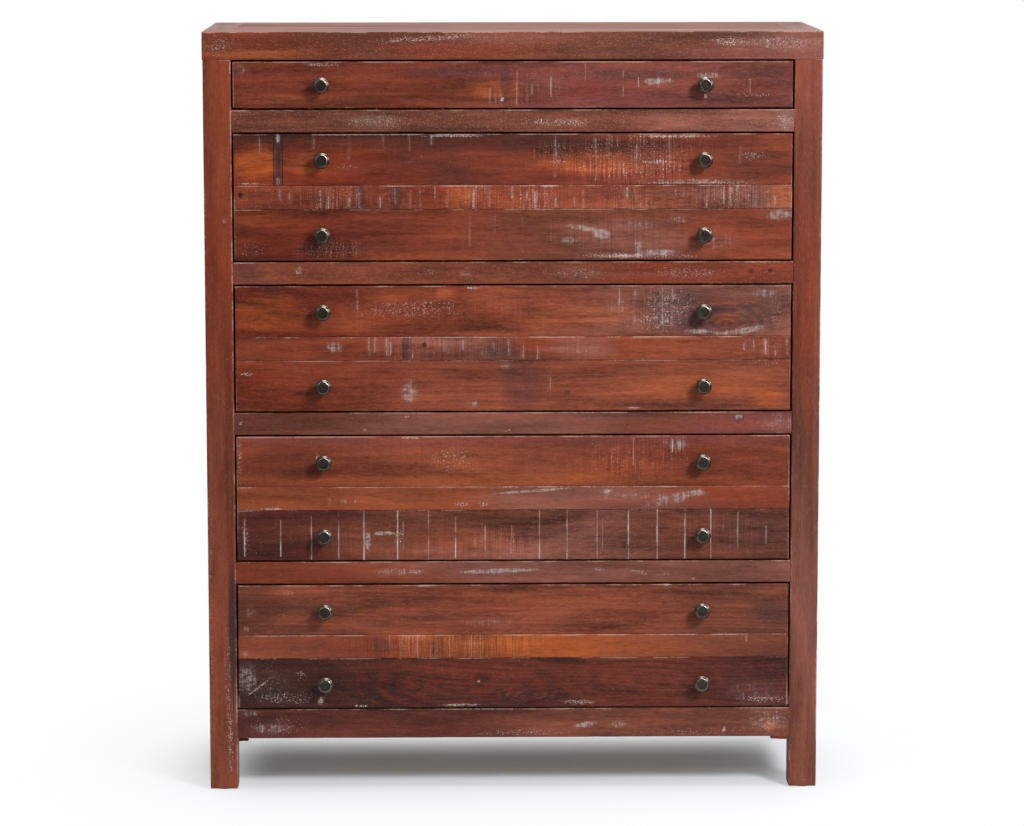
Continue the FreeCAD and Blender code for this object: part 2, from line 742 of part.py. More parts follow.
def repeat_at_knobs(body, features, rows):
    """Repeats features made at the lower left knob across the drawer, and up it on deep ones."""
    pattern = body.newObject("PartDesign::LinearPattern", f"{body.Label}_pattern")
    axes = {item.Role: item for item in body.Origin.OriginFeatures}
    pattern.Originals = features
    pattern.Direction = (axes["X_Axis"], [""])
    pattern.setExpression("Length", "Sizes.knob_spacing")
    pattern.Occurrences = 2
    if rows > 1:
        pattern.Direction2 = (axes["Z_Axis"], [""])
        pattern.setExpression("Length2", "Layout.upper_knob_rise")
        pattern.Occurrences2 = rows
    body.Tip = pattern
    doc.recompute()
    return pattern


def make_knobs(index, knob_heights):
    """Turned metal knobs: a base disc, a waisted neck and a bevelled head with a flat face."""
    body = make_body(f"drawer_{index}_knobs", drawer_bottom(index))
    offset = ("0", knob_heights[0], "-Sizes.knob_spacing / 2")
    sketch = make_sketch(body, "profile", "YZ_Plane", offset)
    base = "Sizes.knob_base_diameter / 2"
    neck = "Sizes.knob_neck_diameter / 2"
    head = "Sizes.knob_head_diameter / 2"
    bore = "(Sizes.knob_screw_diameter / 2 + Sizes.joint_clearance)"
    bore_end = "-(Sizes.knob_screw_reach + Sizes.joint_spare)"
    waist_start = "-(Sizes.knob_base_thickness + Sizes.knob_neck_taper)"
    waist_end = "-(Layout.knob_head_back - Sizes.knob_neck_taper)"
    add_outline(sketch, [
        ("0", bore),
        ("0", base),
        ("-Sizes.knob_base_thickness", base),
        (waist_start, neck),
        (waist_end, neck),
        ("-Layout.knob_head_back", base),
        ("-Layout.knob_rim_back", head),
        ("-Layout.knob_rim_front", head),
        ("-Layout.knob_face", "Sizes.knob_face_diameter / 2"),
        ("-Layout.knob_projection", "0"),
        (bore_end, "0"),
        (bore_end, bore),
    ])
    turned = body.newObject("PartDesign::Revolution", f"{body.Label}_turned")
    turned.Profile = sketch
    turned.ReferenceAxis = (sketch, ["H_Axis"])
    turned.Angle = 360
    doc.recompute()
    repeat_at_knobs(body, [turned], len(knob_heights))
    return body


def make_knob_screws(index, knob_heights):
    body = make_body(f"drawer_{index}_screws", drawer_bottom(index))
    centre = [("-Sizes.knob_spacing / 2", knob_heights[0])]
    head_rear = plus("Layout.box_end_rear", "Sizes.knob_screw_head_height")
    head_span = ("Layout.box_end_rear", head_rear)
    head_size = "Sizes.knob_screw_head_diameter"
    head = add_rods(body, "head", "XZ_Plane", centre, head_size, head_span)
    shank_span = ("-Sizes.knob_screw_reach", "Layout.box_end_rear")
    shank_size = "Sizes.knob_screw_diameter"
    shank = add_rods(body, "shank", "XZ_Plane", centre, shank_size, shank_span)
    repeat_at_knobs(body, [head, shank], len(knob_heights))
    return body


def make_drawer(index, height):
    board_top = "Sizes.front_board_height"
    strip_top = "Layout.upper_knob_rise"
    if index == 1:
        knob_heights = [f"{height} / 2"]
        make_front_board("drawer_1_front", index, "0", ("0", height), knob_heights[0])
    else:
        knob_heights = ["Sizes.front_board_height / 2"]
        knob_heights.append(f"{knob_heights[0]} + Layout.upper_knob_rise")
        upper = (strip_top, height)
        make_front_board(f"drawer_{index}_front_upper", index, "0", upper, knob_heights[1])
        middle = (board_top, strip_top)
        proud = "-Sizes.strip_proud"
        make_front_board(f"drawer_{index}_front_middle", index, proud, middle)
        lower = ("0", board_top)
        make_front_board(f"drawer_{index}_front_lower", index, "0", lower, knob_heights[0])
    box_levels = ("Sizes.box_bottom_margin", less(height, "Sizes.box_top_margin"))
    make_drawer_sides(index, box_levels, f"{height} / 2")
    make_drawer_ends(index, box_levels, knob_heights)
    make_drawer_bottom(index)
    make_knobs(index, knob_heights)
    make_knob_screws(index, knob_heights)


def check_model(bodies):
    for item in doc.Objects:
        if "Invalid" in item.State or "Error" in item.State:
            raise ValueError(f"{item.Label} is not right: {item.State}")
    for body in bodies:
        if body.Shape.isNull() or not body.Shape.isValid() or not body.Shape.Solids:
            raise ValueError(f"{body.Label} has no valid solid")


for side in (left, right):
    for is_front in (True, False):
        make_post(side, is_front)
for label, span in rail_levels().items():
    make_cross_rail(label, span)
make_side_rails()
make_back_rails()
make_back_boards()
for side in (left, right):
    make_side_boards(side)
    make_top_cleat(side)
make_top_front_board()
make_top_panel_boards()
make_top_dowels()
make_foot_glides()
make_drawer_runners()
make_runner_screws()
for index, height in drawers.items():
    make_drawer(index, height)
doc.recompute()

bodies = [item for item in doc.Objects if item.TypeId == "PartDesign::Body"]
check_model(bodies)
os.makedirs("parts", exist_ok=True)
for body in bodies:
    body.Shape.exportStep(f"parts/{body.Label}.step")
    print(f"{body.Label}: {len(body.Shape.Solids)} solids")
print(f"{len(bodies)} nodes, {number('Layout.top_surface'):.1f} mm high")
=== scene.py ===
from math import hypot, pi, radians

import bmesh
import bpy
from mathutils import Matrix, Vector, noise


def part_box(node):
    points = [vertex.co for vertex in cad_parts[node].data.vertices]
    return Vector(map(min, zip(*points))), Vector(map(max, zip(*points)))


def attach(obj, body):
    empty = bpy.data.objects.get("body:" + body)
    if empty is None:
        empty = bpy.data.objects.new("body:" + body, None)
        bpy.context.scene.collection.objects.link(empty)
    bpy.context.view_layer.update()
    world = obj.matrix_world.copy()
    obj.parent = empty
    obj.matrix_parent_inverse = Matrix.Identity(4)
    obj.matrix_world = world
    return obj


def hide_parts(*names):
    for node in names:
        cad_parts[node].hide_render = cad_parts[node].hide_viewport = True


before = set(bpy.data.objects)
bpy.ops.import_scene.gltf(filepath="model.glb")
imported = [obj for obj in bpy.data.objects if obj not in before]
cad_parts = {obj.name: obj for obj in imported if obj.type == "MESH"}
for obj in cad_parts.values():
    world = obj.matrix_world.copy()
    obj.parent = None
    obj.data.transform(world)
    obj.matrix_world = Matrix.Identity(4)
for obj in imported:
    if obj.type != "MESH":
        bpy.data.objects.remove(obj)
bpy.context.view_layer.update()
print("frame loaded:", len(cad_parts), "nodes")

mm = 0.001
axisNames = "xyz"
white = (1, 1, 1, 1)


# stains, old paint, and the colours of painted shade and painted highlights, as red, green and blue
# from 0 to 255
tones = {
    "soot": (40, 25, 24),
    "umber": (70, 33, 24),
    "slate": (68, 44, 45),
    "garnet": (86, 39, 30),
    "oxblood": (106, 45, 28),
    "cherry": (115, 43, 23),
    "walnut": (110, 59, 43),
    "rust": (125, 56, 34),
    "brick": (134, 67, 46),
    "copper": (147, 74, 44),
    "amber": (164, 84, 42),
    "flame": (188, 92, 36),
    "plum": (113, 57, 51),
    "mauve": (132, 79, 67),
    "ash": (136, 112, 104),
    "bone": (186, 150, 134),
    "fog": (190, 178, 176),
    "chalk": (214, 204, 200),
    "sand": (196, 163, 122),
    "straw": (176, 141, 99),
    "birch": (205, 176, 135),
}


def tone(name):
    # the colour as the shader takes it, by the usual curve of a screen
    parts = [part / 255 for part in tones[name]]
    parts = [((part + 0.055) / 1.055) ** 2.4 if part > 0.04 else part / 12.92 for part in parts]
    return (*parts, 1)


class Value:
    # wraps a socket, so that a sum written in Python adds the nodes that work it out

    def __init__(self, nodes, socket):
        self.nodes = nodes
        self.socket = socket

    def maths(self, operation, *values):
        return self.nodes.add("ShaderNodeMath", {"operation": operation}, dict(enumerate(values)))

    def __add__(self, other):
        return self.maths("ADD", self, other)

    def __sub__(self, other):
        return self.maths("SUBTRACT", self, other)

    def __rsub__(self, other):
        return self.maths("SUBTRACT", other, self)

    def __mul__(self, other):
        return self.maths("MULTIPLY", self, other)

    def __truediv__(self, other):
        return self.maths("DIVIDE", self, other)

    __radd__ = __add__
    __rmul__ = __mul__

    def larger(self, other):
        return self.maths("MAXIMUM", self, other)

    def sine(self):
        return self.maths("SINE", self)

    def near(self, place, reach):
        # 1 within reach of a place, otherwise 0
        return self.maths("COMPARE", self, place, reach)

    def limited(self):
        return self.nodes.add("ShaderNodeClamp", {}, {"Value": self})

    def above(self, level, slope):
        # 0 below the level, rising to 1
        return ((self - level) * slope).limited()


class Nodes:
    # the nodes of a material or of the world

    def __init__(self, tree):
        self.tree = tree

    def add(self, kind, settings, inputs, output=0):
        made = self.tree.nodes.new(kind)
        for key, value in settings.items():
            if key == "stops":
                setStops(made.color_ramp, value)
            else:
                setattr(made, key, value)
        for key, value in inputs.items():
            self.feed(made.inputs[key], value)
        return Value(self, made.outputs[output])

    def feed(self, socket, value):
        if isinstance(value, Value):
            self.tree.links.new(value.socket, socket)
        else:
            socket.default_value = value

    def vector(self, operation, *values, output=0):
        inputs = dict(enumerate(values))
        return self.add("ShaderNodeVectorMath", {"operation": operation}, inputs, output)

    def noise(self, point, scale, detail, roughness=0.5, output=0):
        inputs = {
            "Vector": self.vector("MULTIPLY", point, scale),
            "Scale": 1,
            "Detail": detail,
            "Roughness": roughness,
        }
        return self.add("ShaderNodeTexNoise", {}, inputs, output)

    def blend(self, share, first, second):
        return self.add("ShaderNodeMix", {"data_type": "RGBA"}, {0: share, 6: first, 7: second}, 2)

    def brighten(self, colour, factor):
        inputs = {0: colour, "Scale": factor}
        return self.add("ShaderNodeVectorMath", {"operation": "SCALE"}, inputs)

    def attribute(self, name):
        return self.add("ShaderNodeAttribute", {"attribute_name": name}, {}, "Fac")

    def seenByCamera(self):
        return self.add("ShaderNodeLightPath", {}, {}, "Is Camera Ray")

    def bump(self, height, depth, strength):
        inputs = {"Height": height, "Distance": depth, "Strength": strength}
        return self.add("ShaderNodeBump", {}, inputs)


class Finish(Nodes):
    # one material

    def __init__(self, name):
        self.material = bpy.data.materials.new(name)
        self.material.use_nodes = True
        super().__init__(self.material.node_tree)
        self.shader = self.tree.nodes["Principled BSDF"]
        self.place = self.add("ShaderNodeTexCoord", {}, {}, "Object")

    def use(self, sockets):
        for key, value in sockets.items():
            self.feed(self.shader.inputs[key], value)
        return self.material


def setStops(ramp, stops):
    for element, (position, colour) in zip(ramp.elements, (stops[0], stops[-1])):
        element.position = position
        element.color = colour
    for position, colour in stops[1:-1]:
        ramp.elements.new(position).color = colour


studio = {
    "cameraPlace": (-0.113, -6.5365, 1.519),
    "yaw": 1.0,
    "pitch": 7.93,
    "roll": -0.04,
    "lens": 136.27,
    "sensor": 36,
    "lamps": {
        # name: place, size, watts
        "keyLamp": ((2.3, -3.3, 3.2), 1.2, 185),
        "sideLamp": ((2.4, -4.4, 1.5), 1.5, 36),
        "fillLamp": ((-2.8, -4.4, 2.6), 2.2, 38),
        "topLamp": ((0.3, -0.5, 3.4), 1.6, 24),
        "backLamp": ((0, 3.5, 0.75), 0.9, 9),
        "edgeLamp": ((3.6, -0.55, 2.1), 1.3, 14),
    },
    "lampTarget": (0, 0, 0.62),
}

world = {
    # as a light: the strength in front of the chest, that behind it, and the directions between
    # which one becomes the other
    "To Min": 0.12,
    "To Max": 1.0,
    "From Min": -0.2,
    "From Max": 0.4,
}

ground = {
    "size": 30,
    "paint": (0.86, 0.93, 1),
    "tone": 0.82,
    "dim": 0.2,  # the tone away from the chest, where the camera sees white
    "dimming": (0.4, 2),  # how far out that begins, and how fast it comes
    "grain": (9, 9, 9),
    "uneven": 0.02,
    "footprint": (0.4, 0, 0),  # half of where the shadow is deepest
    "fading": (1.7, 1, 0),  # how fast the shadow is given up to the sides and to the front
    "fade": 0.0085,  # cubic metres
}


def linked(name, data):
    made = bpy.data.objects.new(name, data)
    bpy.context.scene.collection.objects.link(made)
    return made


def addObject(name, bm, material):
    mesh = bpy.data.meshes.new(name)
    mesh.materials.append(material)
    bm.to_mesh(mesh)
    bm.free()
    return linked(name, mesh)


def makeCamera():
    data = bpy.data.cameras.new("camera")
    data.lens = studio["lens"]
    data.sensor_width = studio["sensor"]
    camera = linked("camera", data)
    turn = Matrix.Rotation(-radians(studio["yaw"]), 4, "Z")
    tip = Matrix.Rotation(pi / 2 - radians(studio["pitch"]), 4, "X")
    lean = Matrix.Rotation(radians(studio["roll"]), 4, "Z")
    camera.matrix_world = Matrix.Translation(studio["cameraPlace"]) @ turn @ tip @ lean
    bpy.context.scene.camera = camera


def makeLamps():
    for name, (place, size, watts) in studio["lamps"].items():
        data = bpy.data.lights.new(name, "AREA")
        data.shape = "DISK"
        data.size = size
        data.energy = watts
        lamp = linked(name, data)
        lamp.location = place
        aim = Vector(studio["lampTarget"]) - Vector(place)
        lamp.rotation_euler = aim.to_track_quat("-Z", "Y").to_euler()


def makeWorld():
    # white to the camera, and as a light dimmer in front of the chest than behind it
    made = bpy.data.worlds.new("studio")
    made.use_nodes = True
    bpy.context.scene.world = made
    nodes = Nodes(made.node_tree)
    direction = nodes.add("ShaderNodeTexCoord", {}, {}, "Generated")
    depth = nodes.add("ShaderNodeSeparateXYZ", {}, {0: direction}, "Y")
    level = nodes.add("ShaderNodeMapRange", {}, {"Value": depth, **world})
    strength = nodes.add("ShaderNodeMix", {}, {0: nodes.seenByCamera(), 2: level, 3: 1})
    background = nodes.tree.nodes["Background"]
    nodes.feed(background.inputs["Color"], white)
    nodes.feed(background.inputs["Strength"], strength)


def makeFloor():
    # pale and plain; beyond the chest's shadow the camera sees the background's white
    finish = Finish("floorPaint")
    folded = finish.vector("ABSOLUTE", finish.place)
    beyond = finish.vector("SUBTRACT", folded, ground["footprint"])
    beyond = finish.vector("MAXIMUM", beyond, (0, 0, 0))
    beyond = finish.vector("MULTIPLY", beyond, ground["fading"])
    away = finish.vector("LENGTH", beyond, output="Value")
    grain = finish.noise(finish.place, ground["grain"], 3)
    shade = ground["tone"] - away.above(*ground["dimming"]) * (ground["tone"] - ground["dim"])
    paint = finish.brighten(ground["paint"], shade + grain * ground["uneven"])
    finish.use({"Base Color": paint, "Roughness": 0.9, "Specular IOR Level": 0.1})
    cubed = away * away * away
    clear = cubed / (cubed + ground["fade"]) * finish.seenByCamera()
    glow = finish.add("ShaderNodeEmission", {}, {"Color": white, "Strength": 1})
    body = Value(finish, finish.shader.outputs[0])
    mixed = finish.add("ShaderNodeMixShader", {}, {0: clear, 1: body, 2: glow})
    finish.feed(finish.tree.nodes["Material Output"].inputs["Surface"], mixed)
    bm = bmesh.new()
    bmesh.ops.create_grid(bm, x_segments=2, y_segments=2, size=ground["size"])
    floor = addObject("floor", bm, finish.material)


makeCamera()
makeLamps()
makeWorld()
makeFloor()
print("studio ready")


timber = {
    # what a board has unless its own dictionary says otherwise; tones run from left to right, or
    # from foot to head
    "warm": ("copper", 0.38),
    "dark": ("umber", 0.36),
    "rings": 0.0,
    "wander": 0.03,
    "saw": 0.05,
    "sawn": 0.0,
    "pores": 0.2,
    "contrast": 1.0,
    "roughness": 0.42,
    "gloss": 0.2,
    "bump": 0.35,
    # the tone and share of the rubbed arrises, which also carry a painted highlight
    "rub": ("bone", 0.65),
    "residue": 0.65,
    # marks: places, lengths and heights in mm from the middle of the board, a strength and,
    # where it leans, a tilt in degrees
    "stainsAndPaintedLight": (),  # a tone and an oval; mostly stains, on some boards painted shade under a rail or a painted sheen along an arris
    "swirls": (),  # a tone and where the grain runs round a knot
    "hazes": (),  # clouds of old paint
    "scuffs": (),  # flecks of it
    "sawMarks": (),  # what is left of it in the marks of the saw
    "lines": (),  # a place, a strength and, for a short one, its middle and height
    "lineWidth": 1.0,
    "cracks": (),
    "crackWidth": 2.2,
    "dotted": 0.3,  # how broken the lines are
    "hidden": False,  # inside the chest, where one roughness will do
}

grains = {
    # how many features in a metre along and across the grain, then detail and roughness
    "drift": (2.4, 11, 2, 0.5),
    "cloud": (3.2, 20, 3, 0.6),
    "tint": (-4.2, 30, 4, 0.6),
    "streak": (8, 95, 4, 0.6),
    "fibre": (75, 560, 3, 0.65),
    "saw": (400, 14, 3, 0.65),
    "flecks": (280, 560, 3, 0.75),
    "specks": (400, 520, 2, 0.8),
    "mist": (90, 170, 5, 0.85),
    "breaks": (60, 22, 3, 0.65),
    "grit": (330, 300, 2, 0.6),
}

levels = {
    # where a mark begins in its noise, and how sharply
    "warm": (0.48, 4),
    "dark": (0.5, 4),
    "stainAndPaintedLight": (0.1, 1.2),
    "groove": (0.02, 10),
    "pore": (0.58, 7),
    "dash": (0.69, 14),
    "scuff": (0.71, 12),
    "haze": (0.59, 6),
    "line": (0.34, 5),
    "glow": (0.4, 5),
    "dot": (0.46, 9),
    "chalk": (0.44, 9),
    "wornAndLit": (0.46, 3),
}

# how much each noise darkens and lightens a board
shades = {"streak": 1.3, "fibre": 1.5, "saw": 1.9, "cloud": 2.1}

# rings of the tree: bands in a metre along, across and through the board, and their shape
growing = (1.8, 24, 24)
growth = {
    "Scale": 1.7,
    "Distortion": 7,
    "Detail": 3,
    "Detail Scale": 0.9,
    "Detail Roughness": 0.6,
}

throughout = 1000  # metres, so that an oval reaches right through a board
seedShift = (2.3, 0.71, 0.37)  # metres between the wood of one seed and of the next
spotShare = 0.16  # what an oval of marks adds to their noise
knotTurns = 32
grooveDepth = 0.6 * mm
breaking = (2.4 * mm, 30 * mm)  # how far the marks of the saw stray along and across


class Timber(Finish):
    # wood: along, across and through are the board's own axes

    def __init__(self, name, axes, centre):
        super().__init__(name)
        self.order = [axisNames.index(axis) for axis in axes]
        self.point = self.vector("SUBTRACT", self.place, centre)
        self.along, self.across = [
            self.add("ShaderNodeSeparateXYZ", {}, {0: self.point}, axis) for axis in self.order[:2]
        ]

    def spread(self, along, across, through):
        values = [0, 0, 0]
        for axis, value in zip(self.order, (along, across, through)):
            values[axis] = value
        return tuple(values)

    def grained(self, point, kind, output=0):
        along, across, detail, roughness = grains[kind]
        return self.noise(point, self.spread(along, across, across), detail, roughness, output)

    def reach(self, along, across, length, height, tilt=0):
        # 0 in the middle of an oval and 1 at its rim
        inputs = {
            "Vector": self.point,
            "Location": self.spread(along * mm, across * mm, 0),
            "Rotation": self.spread(0, 0, -radians(tilt)),
            "Scale": self.spread(length * mm / 2, height * mm / 2, throughout),
        }
        local = self.add("ShaderNodeMapping", {"vector_type": "TEXTURE"}, inputs)
        return self.vector("LENGTH", local, output="Value")

    def oval(self, *shape):
        # 1 over the middle, falling to 0 at the rim
        return ((1 - self.reach(*shape)) * 1.7).limited()

    def ovals(self, base, spots):
        total = base
        for along, across, length, height, strength, *tilt in spots:
            total = self.oval(along, across, length, height, *tilt) * strength + total
        return total

    def strokes(self, rulers, lines, width):
        # thin lines across the board, or over a part of it
        total = 0
        for place, strength, *part in lines:
            line = rulers[0].near(place, width / 2) * strength
            if part:
                middle, height = part
                line = line * rulers[1].near(middle, height / 2)
            total = line + total
        return total


def stainedAndPaintedLight(wood, look, share, noises):
    # the stain, uneven along the board, with its darker and lighter places, and the ovals of stain,
    # painted shade and painted sheen
    names = look["tones"]
    count = len(names) - 1
    stops = [(0.1 + 0.8 * place / count, tone(each)) for place, each in enumerate(names)]
    colour = wood.add("ShaderNodeValToRGB", {"stops": stops}, {"Fac": share})
    warmName, warmth = look["warm"]
    warm = noises["tint"].above(*levels["warm"])
    colour = wood.blend(warm * warmth, colour, tone(warmName))
    darkName, darkness = look["dark"]
    dark = (1 - noises["tint"]).above(*levels["dark"])
    colour = wood.blend(dark * darkness, colour, tone(darkName))
    if look["rings"]:
        run = wood.vector("MULTIPLY", noises["run"], wood.spread(*growing))
        settings = {"wave_type": "BANDS", "bands_direction": axisNames[wood.order[1]].upper()}
        bands = wood.add("ShaderNodeTexWave", settings, {"Vector": run, **growth}, "Fac")
        colour = wood.blend((1 - bands) * look["rings"], colour, tone("soot"))
    uneven = noises["streak"] - 0.5
    for name, along, across, size, height, strength, *tilt in look["stainsAndPaintedLight"]:
        ragged = wood.oval(along, across, size, height, *tilt) + uneven * 0.8
        colour = wood.blend(ragged.above(*levels["stainAndPaintedLight"]) * strength, colour, tone(name))
    for name, along, across, size, height, strength in look["swirls"]:
        reach = wood.reach(along, across, size, height)
        rings = ((reach + uneven * 0.5) * knotTurns).sine() * 0.5 + 0.5
        cover = ((1 - reach) * 3).limited() * strength
        colour = wood.blend(rings * cover, colour, tone(name))
    return colour


def oldLines(wood, look, noises):
    # cuts of the saw that kept their paint, broken along their length
    breaks = wood.grained(noises["point"], "breaks")
    rulers = [
        (ruler + (breaks - 0.5) * stray) / mm
        for ruler, stray in zip((wood.along, wood.across), breaking)
    ]
    width = look["lineWidth"]
    paint = wood.strokes(rulers, look["lines"], width) * breaks.above(*levels["line"])
    glow = wood.strokes(rulers, look["lines"], width * 4) * breaks.above(*levels["glow"])
    dots = noises["flecks"].above(*levels["dot"]) * look["dotted"] + (1 - look["dotted"])
    return paint * dots + glow * 0.14


def oldPaint(wood, look, noises, colour, rough, density):
    # what is left of old paint
    saw, specks = noises["saw"], noises["specks"]
    layers = []
    if density:
        dashes = saw * 0.42 + specks * 0.58
        layers.append((density * 0.12 + dashes).above(*levels["dash"]) * 0.9)
    if look["scuffs"]:
        spots = wood.ovals(0, look["scuffs"]) * spotShare
        layers.append((spots + specks).above(*levels["scuff"]))
    if look["hazes"]:
        mist = wood.grained(noises["point"], "mist") * 0.65 + saw * 0.35
        cover = wood.ovals(0, look["hazes"])
        thin = cover.limited() * spotShare
        colour = wood.blend(thin, colour, tone("ash"))
        clouded = (thin + mist).above(*levels["haze"]) * (cover * 2).limited()
        colour = wood.blend(clouded * look["residue"], colour, tone("fog"))
    if look["lines"]:
        layers.append(oldLines(wood, look, noises))
    if look["cracks"]:
        dark = wood.strokes((wood.along / mm,), look["cracks"], look["crackWidth"])
        colour = wood.blend(dark * 0.85, colour, tone("soot"))
    if layers:
        paint = wood.blend(saw.above(*levels["chalk"]), tone("bone"), tone("chalk"))
        residue = layers[0]
        for layer in layers[1:]:
            residue = residue.larger(layer)
        colour = wood.blend(residue.limited() * look["residue"], colour, paint)
        rough = residue * 0.25 + rough
    return colour, rough


def timberFinish(name, axes, centre, length, look, planks=False):
    look = {**timber, **look}
    wood = Timber(name, axes, centre)
    seed = look["seed"]
    if planks:
        plank = wood.attribute("plank") + seed
        shift = wood.brighten(wood.spread(*seedShift), plank)
        share = wood.add("ShaderNodeTexWhiteNoise", {"noise_dimensions": "1D"}, {"W": plank})
    else:
        shift = wood.spread(*[seed * part for part in seedShift])
        share = wood.along / length + 0.5
    point = wood.vector("ADD", wood.point, shift)

    # the run of the grain, which wanders a little
    wander = wood.spread(0, look["wander"], look["wander"])
    run = wood.vector("MULTIPLY_ADD", wood.grained(point, "drift", "Color"), wander, point)
    noises = {"point": point, "run": run}
    for kind in ("cloud", "tint", "streak", "fibre"):
        noises[kind] = wood.grained(run, kind)
    for kind in ("saw", "flecks", "specks", "grit"):
        noises[kind] = wood.grained(point, kind)
    cloud, saw, flecks = noises["cloud"], noises["saw"], noises["flecks"]
    if not planks:
        share = (cloud - 0.5) * 0.6 + share
    colour = stainedAndPaintedLight(wood, look, share, noises)

    # saw marks, darker and lighter, and the grain
    density = None
    sawing = look["saw"]
    if look["sawMarks"] or look["sawn"]:
        density = wood.ovals((cloud - 0.5) * 1.2 + look["sawn"], look["sawMarks"])
        sawing = density.limited() * 0.9 + sawing
        grooves = ((0.5 - saw) * sawing).above(*levels["groove"])
        colour = wood.blend(grooves * 0.34, colour, tone("slate"))
    contrast = look["contrast"]
    light = 0.9
    for kind, strength in shades.items():
        light = (noises[kind] - 0.5) * strength * (sawing if kind == "saw" else contrast) + light
    colour = wood.brighten(colour, light)
    pores = look["pores"]
    colour = wood.blend(flecks.above(*levels["pore"]) * pores, colour, tone("bone"))
    colour = wood.blend((1 - flecks).above(*levels["pore"]) * pores * 0.6, colour, tone("umber"))

    rough = (0.5 - cloud) * 0.25 + look["roughness"]
    colour, rough = oldPaint(wood, look, noises, colour, rough, density)

    # arrises rubbed back to pale wood, which also paints their highlight, stronger on the top arrises
    # than on the lower ones
    rubAndHighlightTone, rubbedAndLit = look["rub"]
    wornAndLit = wood.attribute("rub") + (noises["grit"] - 0.5) * 1.5 + (cloud - 0.5) * 1.2
    colour = wood.blend(wornAndLit.above(*levels["wornAndLit"]) * rubbedAndLit, colour, tone(rubAndHighlightTone))

    surface = {"Base Color": colour, "Specular IOR Level": look["gloss"]}
    if look["hidden"]:
        return wood.use({**surface, "Roughness": look["roughness"]})
    height = noises["streak"] * 0.4 + noises["fibre"] * 0.4 + saw * (sawing * 2 + 0.2)
    normal = wood.bump(height, grooveDepth, look["bump"])
    return wood.use({**surface, "Roughness": rough, "Normal": normal})


wearAndHighlight = {
    "weld": 0.001 * mm,
    "slice": 12 * mm,  # between the points that an arris can wander through
    "reach": 2.6 * mm,  # how far from the arris a board is worn and carries the painted highlight
    "waver": 0.2 * mm,
    "chip": 1.2 * mm,
    "chipFrom": 0.32,
    "long": 26,  # features in a metre of the slow wear and of the close
    "close": 105,
    "under": 0.45,  # how little the lower arrises are rubbed: they take less painted highlight, facing down into shade
}


def solidsOf(node):
    # a CAD node's mesh and its separate solids, each a list of vertices
    bm = bmesh.new()
    bm.from_mesh(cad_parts[node].data)
    bmesh.ops.remove_doubles(bm, verts=bm.verts, dist=wearAndHighlight["weld"])
    for name in ("rub", "plank"):
        bm.verts.layers.float.new(name)
    islands = []
    seen = set()
    for start in bm.verts:
        if start in seen:
            continue
        seen.add(start)
        island = [start]
        for vert in island:
            for other in [link.other_vert(vert) for link in vert.link_edges]:
                if other not in seen:
                    seen.add(other)
                    island.append(other)
        islands.append(island)
    return bm, sorted(islands, key=lambda island: min(tuple(vert.co) for vert in island))


def boxOf(verts):
    low = Vector(min(vert.co[axis] for vert in verts) for axis in range(3))
    high = Vector(max(vert.co[axis] for vert in verts) for axis in range(3))
    return low, high


def boxesOf(node):
    bm, islands = solidsOf(node)
    boxes = [boxOf(island) for island in islands]
    bm.free()
    return boxes


def sliceSolid(bm, island, along, step):
    # cuts across the grain, and beside each arris, that only add points
    low, high = boxOf(island)
    faces = dict.fromkeys(face for vert in island for face in vert.link_faces)
    edges = dict.fromkeys(link for vert in island for link in vert.link_edges)
    geometry = [*island, *edges, *faces]
    reach = wearAndHighlight["reach"]
    cuts = []
    for axis in range(3):
        if high[axis] - low[axis] > 3 * reach:
            cuts += [(axis, low[axis] + reach), (axis, high[axis] - reach)]
    length = high[along] - low[along]
    count = int(length / step)
    cuts += [(along, low[along] + length * k / count) for k in range(1, count)]
    for axis, level in cuts:
        normal = Vector((axis == 0, axis == 1, axis == 2))
        cut = bmesh.ops.bisect_plane(
            bm, geom=geometry, dist=wearAndHighlight["weld"], plane_co=normal * level, plane_no=normal
        )
        geometry = cut["geom"]
    return [part for part in geometry if isinstance(part, bmesh.types.BMVert)]


def wearAndHighlightArrises(verts, low, high, rub, amount, seed):
    # pulls each arris in by an uneven amount, and marks how much it is rubbed pale, which is also its
    # painted highlight, less on the lower arrises
    lower = (2, 1)
    for vert in verts:
        place = vert.co.copy()
        sides = []
        for axis in range(3):
            toLow = place[axis] - low[axis]
            toHigh = high[axis] - place[axis]
            sides.append((min(toLow, toHigh), axis, 1 if toLow < toHigh else -1))
        sides.sort()
        (first, *firstSide), (second, *secondSide) = sides[:2]
        near = max(0.0, 1 - hypot(first, second) / wearAndHighlight["reach"])
        under = lower in (tuple(firstSide), tuple(secondSide))
        lengthwise = noise.noise(place * wearAndHighlight["long"] + Vector((seed, 0, 0)))
        close = noise.noise(place * wearAndHighlight["close"] + Vector((0, seed, 0)))
        rubbedAndLit = min(1.0, max(0.0, 0.62 + lengthwise * 1.1 + close * 0.5))
        vert[rub] = near ** 0.5 * rubbedAndLit * (wearAndHighlight["under"] if under else 1)
        waver = wearAndHighlight["waver"] * max(0.0, 0.5 + lengthwise)
        chip = wearAndHighlight["chip"] * max(0.0, close - wearAndHighlight["chipFrom"])
        for axis, way in (firstSide, secondSide):
            vert.co[axis] += way * near * amount * (waver + chip)


def agedTimber(node, grain, material, body, step=wearAndHighlight["slice"], amount=1.0):
    bm, islands = solidsOf(node)
    rub, plank = [bm.verts.layers.float[name] for name in ("rub", "plank")]
    along = axisNames.index(grain)
    for number, island in enumerate(islands):
        low, high = boxOf(island)
        verts = sliceSolid(bm, island, along, step)
        wearAndHighlightArrises(verts, low, high, rub, amount, number * 3.7)
        for vert in verts:
            vert[plank] = number
    bm.normal_update()
    made = addObject(f"{node}_aged", bm, material)
    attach(made, body)
    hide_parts(node)


def middleOf(node):
    low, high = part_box(node)
    return tuple((low + high) / 2)


